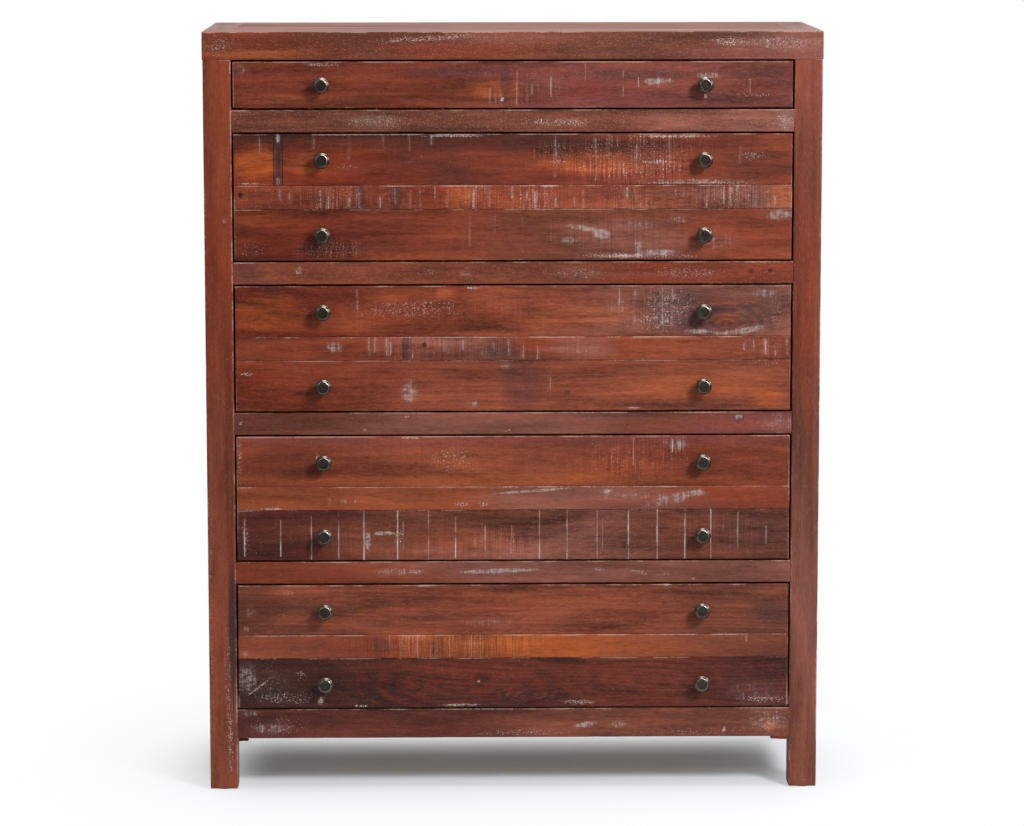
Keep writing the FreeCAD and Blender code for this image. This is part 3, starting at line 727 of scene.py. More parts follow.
def boards(looks, axes, firstSeed, amount=1.0):
    # single boards, each in its own stain
    for seed, (node, look) in enumerate(looks.items(), firstSeed):
        low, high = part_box(node)
        length = (high - low)[axisNames.index(axes[0])]
        look = {**look, "seed": seed}
        finish = timberFinish(f"{node}StainAndPaintedLight", axes, middleOf(node), length, look)
        body = node[:8] if node.startswith("drawer") else "case"
        agedTimber(node, axes[0], finish, body, amount=amount)


posts = {}

posts["post_front_left"] = {
    "tones": ("brick", "brick", "brick", "rust", "cherry", "rust"),
    "contrast": 0.6,
    "wander": 0.02,
    "stainsAndPaintedLight": (
        ("slate", -345, 17, 330, 22, 0.95), ("copper", -520, -8, 300, 30, 0.5),
        ("umber", -60, 14, 700, 18, 0.4),
    ),
    "scuffs": (
        (-540, 12, 170, 12, 0.9), (-420, 8, 300, 18, 0.8), (-300, -18, 700, 6, 0.7),
        (345, 10, 12, 10, 1.1),
    ),
}

posts["post_front_right"] = {
    "tones": ("walnut", "mauve", "walnut", "rust", "rust", "brick"),
    "contrast": 0.6,
    "wander": 0.015,
    "stainsAndPaintedLight": (
        ("mauve", -330, -4, 560, 40, 0.4), ("plum", 480, 0, 420, 50, 0.5),
        # the long mauve band down the outer edge is a painted sheen on that arris
        ("mauve", 0, 18, 1300, 14, 0.5),
    ),
    "scuffs": ((-250, -14, 300, 12, 0.5),),
}

posts["post_rear_left"] = {"tones": ("walnut", "rust", "walnut")}
posts["post_rear_right"] = {"tones": ("rust", "walnut", "rust")}

boards(posts, "zxy", firstSeed=1, amount=0.6)
print("posts done")

rails = {}

rails["front_rail_1"] = {
    "tones": ("walnut", "walnut", "walnut", "walnut", "mauve"),
    "warm": ("brick", 0.25),
    "pores": 0.6,
    "stainsAndPaintedLight": (("ash", -226, 0, 110, 34, 0.2), ("ash", 448, 0, 40, 44, 0.35)),
    "scuffs": (
        (-226, 0, 140, 34, 0.55), (448, -2, 50, 44, 0.9), (75, -2, 180, 16, 0.8), (0, 0, 1000, 40, 0.4),
    ),
}

rails["front_rail_2"] = {
    "tones": ("brick", "brick", "brick", "walnut", "cherry", "oxblood"),
    "contrast": 0.75,
    "pores": 0.4,
    "stainsAndPaintedLight": (
        ("slate", -440, 0, 90, 60, 0.5), ("umber", 393, 2, 13, 10, 1.0), ("umber", 423, 3, 11, 9, 1.0),
        ("mauve", 120, -4, 500, 18, 0.2),
    ),
    "scuffs": (
        (-352, 4, 18, 24, 1.3), (-136, 2, 26, 14, 1.0), (-79, 0, 34, 16, 1.0), (106, 0, 140, 26, 0.9),
        (283, 0, 190, 28, 0.9),
    ),
}

rails["front_rail_3"] = {
    "tones": ("walnut", "mauve", "mauve", "mauve", "walnut", "plum"),
    "warm": ("brick", 0.3),
    "contrast": 0.7,
    "stainsAndPaintedLight": (
        ("plum", -413, 0, 130, 50, 0.5), ("umber", 373, 8, 22, 16, 0.9),
        ("slate", 200, 14, 300, 12, 0.4),
    ),
    "scuffs": (
        (-450, 2, 10, 10, 1.5), (-245, -11, 10, 7, 1.4), (-177, 12, 12, 7, 1.5), (-9, -12, 34, 7, 1.0),
    ),
    "hazes": ((373, 9, 18, 13, 1.3), (440, 0, 80, 44, 0.6)),
}

rails["front_rail_4"] = {
    "tones": ("rust", "brick", "mauve", "mauve", "mauve", "mauve"),
    "warm": ("copper", 0.4),
    "dark": ("walnut", 0.1),
    "contrast": 0.7,
    "scuffs": (
        (-199, 1, 100, 18, 1.1), (-155, 1, 40, 14, 1.1), (142, 4, 34, 8, 1.3),
        (207, 0, 50, 9, 1.2, -12), (250, -5, 60, 6, 1.0), (300, -12, 9, 8, 1.7),
    ),
    "hazes": ((-27, 2, 160, 9, 2.0, 2), (-10, 3, 60, 6, 1.5), (-199, 0, 100, 16, 0.5)),
}

rails["bottom_rail"] = {
    "tones": ("garnet", "garnet", "garnet", "walnut", "walnut", "walnut"),
    "warm": ("brick", 0.25),
    "stainsAndPaintedLight": (("amber", 430, -4, 26, 34, 0.6), ("cherry", 239, 17, 10, 16, 0.9)),
    "scuffs": (
        (-390, -4, 170, 44, 0.65), (10, -16, 230, 16, 0.9), (300, -16, 240, 14, 0.7),
        (352, -12, 8, 14, 1.4), (422, 16, 9, 12, 1.3),
    ),
    "hazes": (
        (-406, -9, 90, 30, 0.6), (-440, 18, 50, 14, 0.6), (120, -3, 56, 12, 1.1, 9),
        (175, -3, 44, 14, 0.7), (425, 2, 100, 60, 0.6),
    ),
}

boards(rails, "xzy", firstSeed=5)
print("rails done")

topFront = {}

topFront["top_front_board"] = {
    "tones": ("rust", "walnut", "oxblood", "walnut", "walnut", "mauve"),
    "contrast": 0.75,
    "pores": 0.5,
    "dark": ("slate", 0.3),
    "stainsAndPaintedLight": (
        ("umber", -250, 10, 600, 30, 0.4), ("oxblood", -40, -6, 360, 26, 0.5),
        ("amber", -405, -14, 260, 18, 0.6), ("brick", -30, -16, 520, 10, 0.3),
        ("plum", 380, -15, 320, 18, 0.7), ("ash", -20, 12, 420, 18, 0.1),
    ),
    "scuffs": (
        (-140, 13, 260, 16, 1.0, 4), (-482, 0, 80, 44, 0.9), (350, 7, 80, 22, 1.1),
        (443, 4, 170, 34, 0.9), (60, 6, 760, 30, 0.4),
    ),
    "hazes": ((-30, 13, 360, 14, 0.25), (430, 6, 220, 34, 0.4)),
}

topCleats = {}

topCleats["top_cleat_left"] = {"tones": ("walnut", "brick", "walnut")}
topCleats["top_cleat_right"] = {"tones": ("brick", "walnut", "brick")}

boards(topFront, "xzy", firstSeed=10, amount=0.7)
boards(topCleats, "yxz", firstSeed=11, amount=0.7)

planks = {}

planks["top_panel_boards"] = {
    "axes": "xyz",
    "slot": "top_wood",
    "tones": ("copper", "rust", "brick"),
    "seed": 13,
    "roughness": 0.5,
    "pores": 0.3,
    "residue": 0.4,
    "sawMarks": ((-200, 60, 500, 90, 0.3), (260, -40, 400, 120, 0.3)),
}

planks["side_boards_left"] = {
    "axes": "zyx",
    "slot": "side_wood",
    "tones": ("rust", "walnut", "plum"),
    "seed": 14,
    "sawn": 0.1,
}

planks["side_boards_right"] = {
    "axes": "zyx",
    "slot": "side_wood",
    "tones": ("plum", "rust", "walnut"),
    "seed": 21,
    "sawn": 0.1,
}

planks["side_rails"] = {
    "axes": "yzx",
    "slot": "frame_wood",
    "tones": ("rust", "walnut", "rust"),
    "seed": 28,
}

planks["back_boards"] = {
    "axes": "zxy",
    "slot": "back_wood",
    "tones": ("straw", "sand", "birch"),
    "seed": 35,
    "warm": ("copper", 0.25),
    "dark": ("walnut", 0.3),
    "roughness": 0.62,
    "saw": 0.2,
}

planks["back_rails"] = {
    "axes": "xzy",
    "slot": "back_wood",
    "tones": ("straw", "sand", "straw"),
    "seed": 44,
    "dark": ("walnut", 0.3),
}

for node, look in planks.items():
    finish = timberFinish(f"{node}StainAndPaintedLight", look["axes"], middleOf(node), 1, look, planks=True)
    agedTimber(node, look["axes"][0], finish, "case", step=24 * mm)
print("top, sides and back done")


fronts = {}

fronts["drawer_1_front"] = {
    "tones": ("oxblood", "oxblood", "plum", "plum"),
    "stainsAndPaintedLight": (
        ("amber", -29, -6, 120, 40, 0.6), ("copper", -330, -24, 300, 26, 0.4),
        ("slate", -87, 22, 260, 20, 0.6), ("slate", -12, 0, 26, 100, 0.5),
        ("slate", 216, 16, 260, 24, 0.45), ("cherry", 110, -8, 160, 36, 0.4),
        ("cherry", 400, -10, 120, 50, 0.4),
    ),
    "scuffs": (
        (-313, 33, 80, 10, 1.2), (-268, -38, 28, 6, 1.5), (-18, -24, 10, 10, 1.9),
        (315, -19, 8, 12, 1.6), (400, -17, 90, 8, 1.0), (150, 18, 700, 20, 0.45),
    ),
    "hazes": (
        (-441, 26, 40, 24, 0.5), (237, 6, 70, 14, 0.9), (224, 4, 20, 12, 1.3), (318, 15, 60, 14, 0.8),
        (60, 0, 100, 40, 0.4),
    ),
    "sawMarks": ((20, -12, 90, 60, 0.7), (-26, -20, 40, 40, 0.8)),
    "lines": (
        (-38, 0.6, -16, 24), (6, 0.9, -8, 56), (31, 0.8, -6, 20), (62, 1.0, -3, 36), (118, 0.6, 24, 34),
        (180, 1.0, 0, 46), (205, 0.6, 6, 16), (238, 0.8, 4, 18), (388, 0.6, 0, 26),
    ),
}

fronts["drawer_2_front_upper"] = {
    "tones": ("cherry", "cherry", "garnet", "oxblood", "rust", "rust"),
    "pores": 0.12,
    "dotted": 0.9,
    "lineWidth": 1.8,
    "wander": 0.045,
    "stainsAndPaintedLight": (
        # the umber and soot bands along the top edge are painted shade under the rail above
        ("umber", -200, 30, 1300, 36, 0.7), ("soot", -260, 42, 900, 20, 0.6),
        ("flame", -420, -4, 110, 70, 0.6), ("amber", -340, -6, 90, 40, 0.5),
        ("flame", 130, -6, 200, 50, 0.3), ("slate", -385, 0, 13, 300, 0.9),
        ("oxblood", 330, 22, 240, 40, 0.6), ("garnet", 400, -10, 160, 60, 0.5),
    ),
    "scuffs": (
        (-271, -11, 80, 8, 0.9), (-95, 39, 150, 6, 1.6), (270, 38, 190, 7, 1.5), (72, -4, 50, 8, 1.1),
        (237, -4, 70, 8, 1.1), (190, 14, 320, 74, 0.65), (393, 6, 80, 20, 0.9), (-430, -39, 60, 6, 1.4),
        (300, -39, 300, 6, 1.2),
    ),
    "hazes": ((-385, 38, 9, 24, 1.2), (-385, -36, 9, 20, 1.2), (300, -36, 240, 12, 0.7)),
    "sawMarks": ((190, 4, 380, 130, 1.0), (60, 16, 100, 60, 0.6), (-300, 20, 200, 40, 0.3)),
    "lines": (
        (-415, 0.5, 26, 30), (-326, 0.6, 30, 24), (-269, 0.4, 20, 40), (-213, 0.45, 26, 34),
        (-170, 0.5, 30, 26), (-134, 0.7, 34, 18), (69, 0.6, 4, 70), (135, 0.6, 0, 76),
        (157, 0.8, 10, 60), (202, 1.0, 6, 60), (256, 0.7, 10, 50), (372, 0.5, 6, 30),
    ),
    "cracks": ((-392, 1.0), (-378, 1.0)),
}

fronts["drawer_2_front_middle"] = {
    "tones": ("rust", "rust", "cherry", "rust", "brick", "mauve"),
    "pores": 0.35,
    "sawn": 0.35,
    "dotted": 0.9,
    "lineWidth": 2.2,
    "stainsAndPaintedLight": (
        ("soot", -447, 4, 12, 12, 1.0), ("amber", 437, 0, 60, 60, 0.7), ("slate", -192, 0, 26, 80, 0.6),
        ("slate", -250, 0, 20, 80, 0.5), ("amber", -90, 0, 60, 50, 0.5),
        ("mauve", 300, 6, 300, 20, 0.4),
    ),
    "sawMarks": (
        (-300, 0, 160, 80, 0.6), (-60, 0, 90, 80, 0.6), (36, 0, 90, 80, 0.6), (190, 0, 90, 80, 0.5),
        (350, 0, 160, 80, 0.7),
    ),
    "scuffs": ((57, 18, 40, 6, 1.4), (0, 19, 916, 4, 0.8)),
    "lines": (
        (-383, 0.8, 5, 19), (-366, 0.5, 1, 21), (-316, 0.8, -2, 27), (-303, 1.0, -1, 33),
        (-270, 0.8, -8, 19), (-253, 1.0, -2, 31), (-218, 0.8, -8, 19), (-194, 0.6, 4, 29),
        (-169, 0.4, -1, 29), (-153, 0.5, 0, 31), (-128, 0.6, 9, 19), (-109, 0.5, -2, 31),
        (-64, 1.0, -1, 34), (-41, 0.7, 1, 37), (-2, 0.6, 9, 20), (23, 0.7, -2, 27), (36, 1.0, -2, 30),
        (70, 0.8, -9, 17), (100, 0.6, -7, 17), (115, 0.4, -3, 25), (187, 0.8, 8, 17), (199, 0.6, 8, 21),
        (266, 0.8, 5, 13), (280, 0.7, 5, 13), (318, 0.7, -4, 27), (345, 0.6, 3, 27), (359, 0.8, -1, 34),
        (397, 0.6, -4, 23), (421, 0.6, -10, 15), (430, 0.6, -6, 15),
    ),
}

fronts["drawer_2_front_lower"] = {
    "tones": ("cherry", "rust", "rust", "walnut", "walnut", "rust"),
    "dotted": 0.9,
    "stainsAndPaintedLight": (
        ("amber", -400, 25, 180, 40, 0.25), ("mauve", 190, -4, 260, 76, 0.65),
        ("umber", -160, -20, 300, 30, 0.25),
    ),
    "scuffs": (
        (-430, -24, 90, 40, 0.7), (-296, -22, 200, 50, 0.8), (205, -24, 14, 44, 0.8),
        (237, -36, 260, 12, 1.1), (150, -34, 160, 16, 0.9), (-30, 0, 300, 70, 0.35),
    ),
    "hazes": (
        (118, 10, 90, 13, 0.9, -8), (146, 0, 44, 20, 1.1), (92, -10, 40, 20, 0.8),
        (205, -16, 22, 34, 0.7), (240, -30, 90, 14, 1.2), (437, 32, 60, 26, 0.9),
        (200, 16, 100, 20, 0.6), (270, 24, 50, 16, 0.6), (330, -10, 120, 50, 0.4),
    ),
    "sawMarks": ((-296, -24, 200, 50, 0.9), (150, -6, 260, 90, 0.4)),
    "lines": ((-71, 0.45, 6, 50), (-30, 0.45, 20, 30), (15, 0.45, 0, 60), (62, 0.45, 10, 40)),
}

fronts["drawer_3_front_upper"] = {
    "tones": ("cherry", "rust", "rust", "brick", "mauve", "mauve"),
    "swirls": (("slate", 350, -22, 180, 100, 0.55),),
    "wander": 0.045,
    "dotted": 0.9,
    "lineWidth": 1.6,
    "stainsAndPaintedLight": (
        ("flame", -404, 0, 150, 80, 0.35), ("amber", -114, 31, 36, 20, 0.8),
        ("slate", 290, 0, 220, 110, 0.6), ("slate", 420, 10, 120, 90, 0.4),
        ("amber", 352, -14, 60, 30, 0.6), ("copper", 350, 16, 150, 14, 0.5),
        ("amber", 100, -10, 300, 50, 0.4),
    ),
    "scuffs": (
        (-164, 4, 270, 44, 0.85), (-67, 39, 40, 6, 1.7), (258, 8, 130, 84, 0.95),
        (225, -22, 110, 40, 0.7), (430, 0, 60, 80, 0.6),
    ),
    "hazes": (
        (306, -34, 64, 10, 1.0), (390, -31, 60, 13, 0.9, 16), (372, -34, 130, 12, 0.8, 6),
        (258, 6, 100, 80, 0.35), (415, 29, 60, 20, 0.7), (170, 10, 60, 40, 0.4),
    ),
    "sawMarks": ((245, 4, 170, 100, 0.7), (-60, -6, 360, 60, 0.3)),
    "lines": (
        (-257, 0.6, 20, 34), (175, 0.6, 20, 40), (201, 0.6, 10, 50), (246, 0.9, 10, 60),
        (262, 0.7, 8, 60), (275, 0.7, 10, 64),
    ),
}

fronts["drawer_3_front_middle"] = {
    "tones": ("rust", "rust", "mauve", "rust", "rust", "brick"),
    "warm": ("amber", 0.2),
    "dotted": 0.9,
    "lineWidth": 2.2,
    "stainsAndPaintedLight": (
        ("umber", -147, 6, 14, 12, 1.0), ("mauve", 112, 0, 160, 60, 0.6),
        ("slate", -177, 0, 24, 80, 0.6), ("slate", -20, 0, 90, 60, 0.4),
    ),
    "hazes": ((-295, 3, 40, 26, 0.9), (112, -2, 140, 30, 0.4)),
    "sawMarks": ((-110, 0, 360, 90, 0.6), (418, 0, 100, 80, 0.6)),
    "lines": (
        (-238, 0.7, 5, 29), (-228, 0.7, 7, 24), (-209, 0.8, 5, 29), (-202, 0.6, 5, 23),
        (-166, 1.0, 0, 31), (-114, 0.6, 5, 19), (-107, 0.5, 3, 23), (-83, 0.7, 8, 17),
        (-62, 0.8, 10, 13), (-52, 1.0, 2, 26), (-32, 0.7, 2, 22), (-8, 0.9, 1, 29), (16, 0.9, -7, 20),
        (40, 0.8, -6, 21), (381, 0.7, 5, 12), (397, 0.7, 5, 19), (417, 0.9, 4, 24), (433, 0.7, -1, 18),
        (452, 0.6, 1, 32),
    ),
}

fronts["drawer_3_front_lower"] = {
    "tones": ("cherry", "rust", "brick", "brick", "brick", "brick"),
    "rings": 0.22,
    "stainsAndPaintedLight": (
        ("umber", -348, -13, 50, 10, 0.9), ("slate", 14, 0, 90, 140, 0.45),
        ("slate", 89, -12, 15, 12, 0.7), ("amber", 300, 0, 340, 60, 0.35),
        ("flame", 420, -20, 80, 40, 0.4),
    ),
    "scuffs": ((-440, 20, 34, 10, 1.4), (199, -38, 34, 7, 1.5), (420, 36, 90, 10, 0.9)),
    "hazes": ((-172, -12, 40, 56, 0.8), (-13, 33, 30, 16, 0.7), (-70, -30, 30, 18, 0.6)),
    "lines": ((61, 0.8, -6, 40),),
}

fronts["drawer_4_front_upper"] = {
    "tones": ("rust", "brick", "copper", "brick", "rust", "rust"),
    "contrast": 0.8,
    "saw": 0.16,
    "stainsAndPaintedLight": (
        # the plum band along the top edge is painted shade under the rail above
        ("plum", 0, 34, 2400, 30, 0.6), ("amber", -40, -30, 1100, 26, 0.5),
        ("umber", -380, 0, 160, 80, 0.4),
    ),
    "scuffs": (
        (-169, 40, 50, 6, 1.8), (-104, 5, 120, 60, 0.8), (-325, 8, 8, 16, 1.6), (-452, 0, 10, 120, 1.0),
        (200, 0, 300, 80, 0.4),
    ),
    "hazes": ((270, 30, 60, 22, 0.6),),
    "sawMarks": ((202, 8, 200, 90, 0.7), (270, 26, 40, 40, 1.3)),
    "lines": ((199, 1.0, 16, 46), (262, 0.6, 30, 20), (280, 0.6, 28, 26)),
}

fronts["drawer_4_front_middle"] = {
    "tones": ("copper", "copper", "copper", "mauve", "mauve", "rust"),
    "contrast": 0.7,
    "stainsAndPaintedLight": (("rust", 400, -4, 110, 60, 0.6), ("plum", 230, -10, 300, 20, 0.4)),
    "scuffs": (
        (-305, -4, 10, 16, 1.3), (-281, -4, 16, 14, 1.4), (-261, -4, 11, 16, 1.2),
        (-400, -17, 50, 6, 1.7), (-84, -10, 40, 12, 1.2), (-46, -10, 30, 10, 1.2), (0, 19, 916, 4, 1.0),
    ),
    "hazes": (
        (30, 12, 150, 6, 1.9, 4), (154, 11, 30, 9, 0.8, 14), (262, -2, 110, 26, 0.65, 14),
        (306, 8, 50, 18, 0.8), (200, 4, 160, 24, 0.4),
    ),
}

fronts["drawer_4_front_lower"] = {
    "tones": ("garnet", "walnut", "walnut", "mauve", "walnut", "walnut"),
    "saw": 0.1,
    "sawn": 0.12,
    "warm": ("brick", 0.3),
    "residue": 0.95,
    "stainsAndPaintedLight": (
        ("umber", -420, -20, 260, 90, 0.4), ("slate", 400, 6, 180, 90, 0.4),
        ("copper", -70, -8, 200, 50, 0.4), ("umber", 20, 18, 160, 7, 0.8),
    ),
    "scuffs": ((-445, 0, 16, 80, 0.8), (-190, -4, 20, 60, 0.9)),
    "hazes": ((-214, 3, 44, 8, 1.6), (-242, -10, 14, 50, 0.9)),
    "sawMarks": ((-20, -10, 160, 70, 0.5), (330, 0, 200, 80, 0.3)),
    "lines": (
        (-446, 0.9, -4, 62), (-386, 0.9, -4, 60), (-335, 1.0, -4, 70), (-290, 1.0, -4, 74), (-248, 1.0),
        (-192, 1.0), (-183, 0.4, -2, 50), (-141, 1.0), (-96, 0.9, -4, 66), (-47, 0.7, -6, 44),
        (-3, 0.8, -8, 46), (43, 1.0), (89, 1.0), (139, 1.0), (148, 0.4, 0, 50), (191, 1.0), (239, 0.9),
        (285, 1.0), (328, 0.9), (373, 0.8, 2, 70), (420, 0.6, 0, 32),
    ),
}

fronts["drawer_5_front_upper"] = {
    "tones": ("walnut", "brick", "brick", "brick", "brick", "walnut"),
    "rings": 0.2,
    "stainsAndPaintedLight": (
        ("slate", -230, -22, 90, 24, 0.3), ("slate", 429, -2, 90, 60, 0.5),
        ("umber", -430, 0, 120, 90, 0.4), ("copper", 60, 20, 500, 30, 0.3),
    ),
    "scuffs": (
        (-373, 29, 30, 14, 0.9), (-444, -32, 14, 16, 1.2), (-382, -8, 26, 7, 1.0),
        (-149, 41, 40, 5, 1.7), (256, 41, 24, 5, 1.6),
    ),
    "hazes": ((-438, -3, 26, 24, 0.45), (-38, -20, 140, 18, 0.5)),
}

fronts["drawer_5_front_middle"] = {
    "tones": ("brick", "rust", "amber", "amber", "copper", "walnut"),
    "contrast": 0.7,
    "residue": 0.4,
    "stainsAndPaintedLight": (
        ("slate", -221, 0, 40, 60, 0.4), ("flame", 60, 0, 300, 60, 0.4),
        ("umber", -90, 0, 180, 70, 0.3),
    ),
    "scuffs": ((-446, -12, 18, 16, 1.4), (388, 11, 7, 16, 1.4)),
    "sawMarks": ((-115, 0, 400, 90, 0.9),),
    "lines": ((-235, 0.7), (-206, 0.6), (-186, 0.7), (-160, 0.6), (-130, 0.5), (-70, 0.5)),
}

fronts["drawer_5_front_lower"] = {
    "tones": ("umber", "umber", "garnet", "garnet", "oxblood", "garnet"),
    "warm": ("oxblood", 0.6),
    "dark": ("soot", 0.5),
    "rings": 0.5,
    "wander": 0.06,
    "swirls": (
        ("cherry", -90, -6, 420, 130, 0.4), ("soot", 27, -22, 150, 40, 0.6),
        ("rust", 230, 6, 360, 110, 0.25),
    ),
    "stainsAndPaintedLight": (
        ("soot", -390, 10, 280, 130, 0.35), ("soot", -190, -30, 300, 40, 0.35),
        ("soot", -53, 6, 34, 34, 0.7), ("oxblood", -62, -14, 26, 16, 0.7),
        ("walnut", 27, -22, 106, 22, 0.5), ("soot", 25, -21, 36, 12, 0.9),
        ("soot", 82, -22, 42, 12, 0.9),
    ),
    "scuffs": (
        (-424, -6, 70, 4, 1.4, 37), (-420, 4, 120, 90, 0.5), (-355, 14, 28, 24, 0.9),
        (-370, -26, 130, 30, 0.9), (-322, -31, 12, 20, 1.5), (-255, -39, 34, 6, 1.8),
        (-90, -38, 90, 7, 1.5), (110, -34, 90, 12, 1.2), (417, -30, 110, 18, 1.2), (-58, 2, 6, 6, 1.8),
    ),
    "hazes": ((-446, 10, 40, 70, 0.6), (-410, 0, 120, 80, 0.2), (400, -16, 120, 50, 0.4)),
}

boards(fronts, "xzy", firstSeed=50)
print("drawer fronts done")


knob = {
    # radius and distance from the board, in mm, from the rose to the middle of the face
    "profile": (
        (0, 0), (9.0, 0), (9.0, 1.4), (8.6, 2.4), (7.4, 3.0), (6.2, 3.6), (5.5, 5.0), (5.4, 8.0),
        (5.7, 10.4), (6.6, 12.4), (8.6, 14.2), (11.0, 15.8), (12.9, 17.4), (13.5, 18.6),
        (13.5, 20.2), (13.2, 21.0), (12.4, 21.8), (11.0, 23.3), (9.9, 24.4), (9.4, 24.8),
        (8.8, 24.9), (8.0, 24.75), (4.0, 24.85), (0, 24.9),
    ),
    "steps": 40,
    "face": 20,  # mm from the board, beyond which the metal is rubbed and carries a painted highlight
    "rims": ((13.0, 0.9), (9.6, 0.8)),  # where it is rubbed bright and carries a painted highlight: a radius and a reach in mm
    "faceRubAndHighlight": 0.12,  # how much rubbing and painted highlight the rest of the face has
    "weld": 0.01 * mm,
    "crease": 48,
    "dark": (0.070, 0.053, 0.033, 1),
    "light": (0.098, 0.075, 0.048, 1),
    # the colour of the rubbed rims, which is also their painted highlight
    "rubAndHighlightColour": (0.58, 0.52, 0.46, 1),
}


def knobFinish():
    metal = Finish("knobBronze")
    cloud = metal.noise(metal.place, (160, 160, 160), 4, 0.6)
    pits = metal.noise(metal.place, (900, 900, 900), 2, 0.6)
    base = metal.blend(cloud.above(0.35, 3), knob["dark"], knob["light"])
    # rubbed rims with their painted highlight
    base = metal.blend(metal.attribute("rub") * 0.8, base, knob["rubAndHighlightColour"])
    rough = cloud * 0.12 + 0.22
    normal = metal.bump(cloud * 0.5 + pits * 0.5, 0.1 * mm, 0.15)
    return metal.use({"Base Color": base, "Metallic": 1.0, "Roughness": rough, "Normal": normal})


def addKnob(bm, foot):
    # the profile is drawn beside the axis and spun round it
    corners = [
        bm.verts.new(foot + Vector((radius * mm, -reach * mm, 0))) for radius, reach in knob["profile"]
    ]
    edges = [bm.edges.new(pair) for pair in zip(corners, corners[1:])]
    bmesh.ops.spin(
        bm, geom=corners + edges, cent=foot, axis=(0, 1, 0), angle=2 * pi,
        steps=knob["steps"], use_merge=True, use_duplicate=False,
    )


def knobRubAndHighlight(vert, low, high):
    # rubbed bright on the rims, with a painted highlight there, stronger above and to the right,
    # towards the key lamp, than below
    centre = (low + high) / 2
    side = (vert.co.x - centre.x) / mm
    rise = (vert.co.z - centre.z) / mm
    if (high.y - vert.co.y) / mm <= knob["face"]:
        return 0.0
    radius = hypot(side, rise)
    rim = max(0.0, *(1 - abs(radius - middle) / reach for middle, reach in knob["rims"]))
    lit = 0.45 + 0.55 * max(0.0, rise / 11 + side / 30)
    return min(1.0, (rim + knob["faceRubAndHighlight"]) * lit)


def makeKnobs(number, material):
    node = f"drawer_{number}_knobs"
    boxes = boxesOf(node)
    bm = bmesh.new()
    rub = bm.verts.layers.float.new("rub")
    for low, high in boxes:
        centre = (low + high) / 2
        addKnob(bm, Vector((centre.x, high.y, centre.z)))
    bmesh.ops.remove_doubles(bm, verts=bm.verts, dist=knob["weld"])
    bmesh.ops.recalc_face_normals(bm, faces=bm.faces)
    for vert in bm.verts:
        box = min(boxes, key=lambda box: (vert.co - (box[0] + box[1]) / 2).length)
        vert[rub] = knobRubAndHighlight(vert, *box)
    for face in bm.faces:
        face.smooth = True
    made = addObject(f"drawer_{number}_knobs_turned", bm, material)
    made.data.set_sharp_from_angle(angle=radians(knob["crease"]))
    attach(made, f"drawer_{number}")
    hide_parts(node)


bronze = knobFinish()
for number in range(1, 6):
    makeKnobs(number, bronze)
print("knobs done")


# drawer boxes, runners and small hardware keep their CAD shapes
insideWood = {}

insideWood["drawerBoxWood"] = {
    "tones": ("straw", "sand", "straw"),
    "seed": 70,
    "warm": ("birch", 0.5),
    "dark": ("mauve", 0.18),
    "rings": 0.14,
    "contrast": 0.6,
    "roughness": 0.6,
}

insideWood["drawerBottomPly"] = {
    "tones": ("sand", "birch", "sand"),
    "seed": 75,
    "warm": ("birch", 0.5),
    "dark": ("straw", 0.3),
    "rings": 0.2,
    "contrast": 0.6,
    "roughness": 0.55,
}

insideWood["runnerWood"] = {
    "tones": ("sand", "sand", "straw"),
    "seed": 80,
    "warm": ("birch", 0.4),
    "dark": ("walnut", 0.2),
    "roughness": 0.4,
}

hardware = {}

hardware["screwSteel"] = {
    "grain": (420, 420, 420),
    "detail": 3,
    "dark": (0.42, 0.43, 0.44, 1),
    "light": (0.62, 0.61, 0.58, 1),
    "metallic": 1.0,
    "roughness": 0.34,
}

hardware["glidePlastic"] = {
    "grain": (1500, 1500, 1500),
    "detail": 2,
    "dark": (0.11, 0.05, 0.034, 1),
    "light": (0.16, 0.075, 0.052, 1),
    "metallic": 0.0,
    "roughness": 0.5,
}


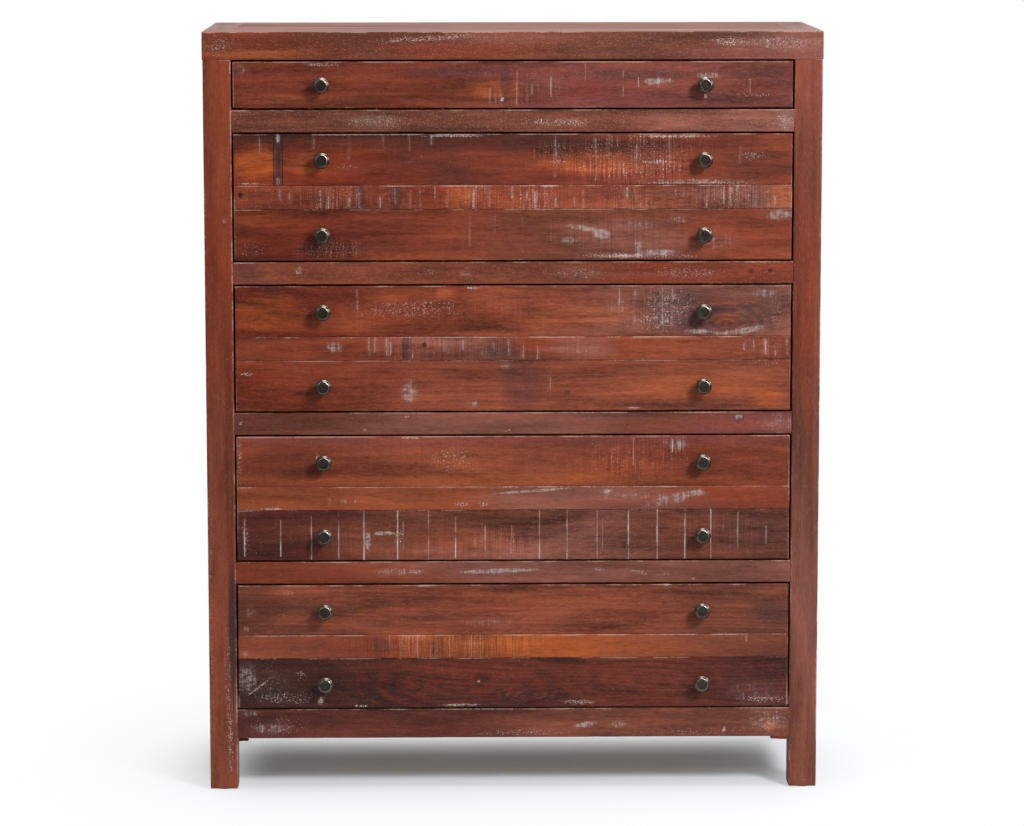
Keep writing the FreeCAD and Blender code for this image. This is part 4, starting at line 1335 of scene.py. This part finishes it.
def hardwareFinish(name):
    look = hardware[name]
    finish = Finish(name)
    cloud = finish.noise(finish.place, look["grain"], look["detail"])
    return finish.use({
        "Base Color": finish.blend(cloud, look["dark"], look["light"]),
        "Metallic": look["metallic"],
        "Roughness": look["roughness"],
        "Normal": finish.bump(cloud, 0.1 * mm, 0.2),
    })


def dress(node, material):
    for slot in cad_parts[node].material_slots:
        slot.material = material


chestMiddle = (0, 0, 0.6)


def insideFinish(name, axes, length, kind):
    look = {**insideWood[kind], "rub": ("birch", 0), "hidden": True}
    return timberFinish(name, axes, chestMiddle, length, look)


boxSides = insideFinish("drawerSideWood", "yzx", 0.4, "drawerBoxWood")
boxEnds = insideFinish("drawerEndWood", "xzy", 0.9, "drawerBoxWood")
bottoms = insideFinish("drawerBottomPly", "xyz", 0.9, "drawerBottomPly")
runners = insideFinish("runnerWood", "yzx", 0.4, "runnerWood")
steel = hardwareFinish("screwSteel")
for number in range(1, 6):
    dress(f"drawer_{number}_sides", boxSides)
    dress(f"drawer_{number}_ends", boxEnds)
    dress(f"drawer_{number}_bottom", bottoms)
    dress(f"drawer_{number}_screws", steel)
dress("drawer_runners", runners)
dress("top_dowels", runners)
dress("runner_screws", steel)
dress("foot_glides", hardwareFinish("glidePlastic"))
print("boxes and hardware done")


# nails hold the back boards to their rails
nails = {
    "radius": 2.6 * mm,
    "taper": 0.8,
    "height": 0.7 * mm,
    "steps": 12,
    "inset": 26 * mm,  # from the sides of a board
    "stray": 6 * mm,
}


def makeNails():
    bm = bmesh.new()
    rails = boxesOf("back_rails")
    for low, high in boxesOf("back_boards"):
        for railLow, railHigh in rails:
            for x in (low.x + nails["inset"], high.x - nails["inset"]):
                stray = noise.noise(Vector((x * 40, railLow.z * 9, 0))) * nails["stray"]
                rise = (railLow.z + railHigh.z) / 2 + stray
                place = Matrix.Translation((x + stray * 0.4, high.y - nails["height"] / 2, rise))
                bmesh.ops.create_cone(
                    bm, cap_ends=True, segments=nails["steps"], radius1=nails["radius"],
                    radius2=nails["radius"] * nails["taper"], depth=nails["height"],
                    matrix=place @ Matrix.Rotation(-pi / 2, 4, "X"),
                )
    made = addObject("back_nails", bm, steel)
    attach(made, "case")


makeNails()
print("nails done")

bpy.context.scene.view_settings.view_transform = "Standard"
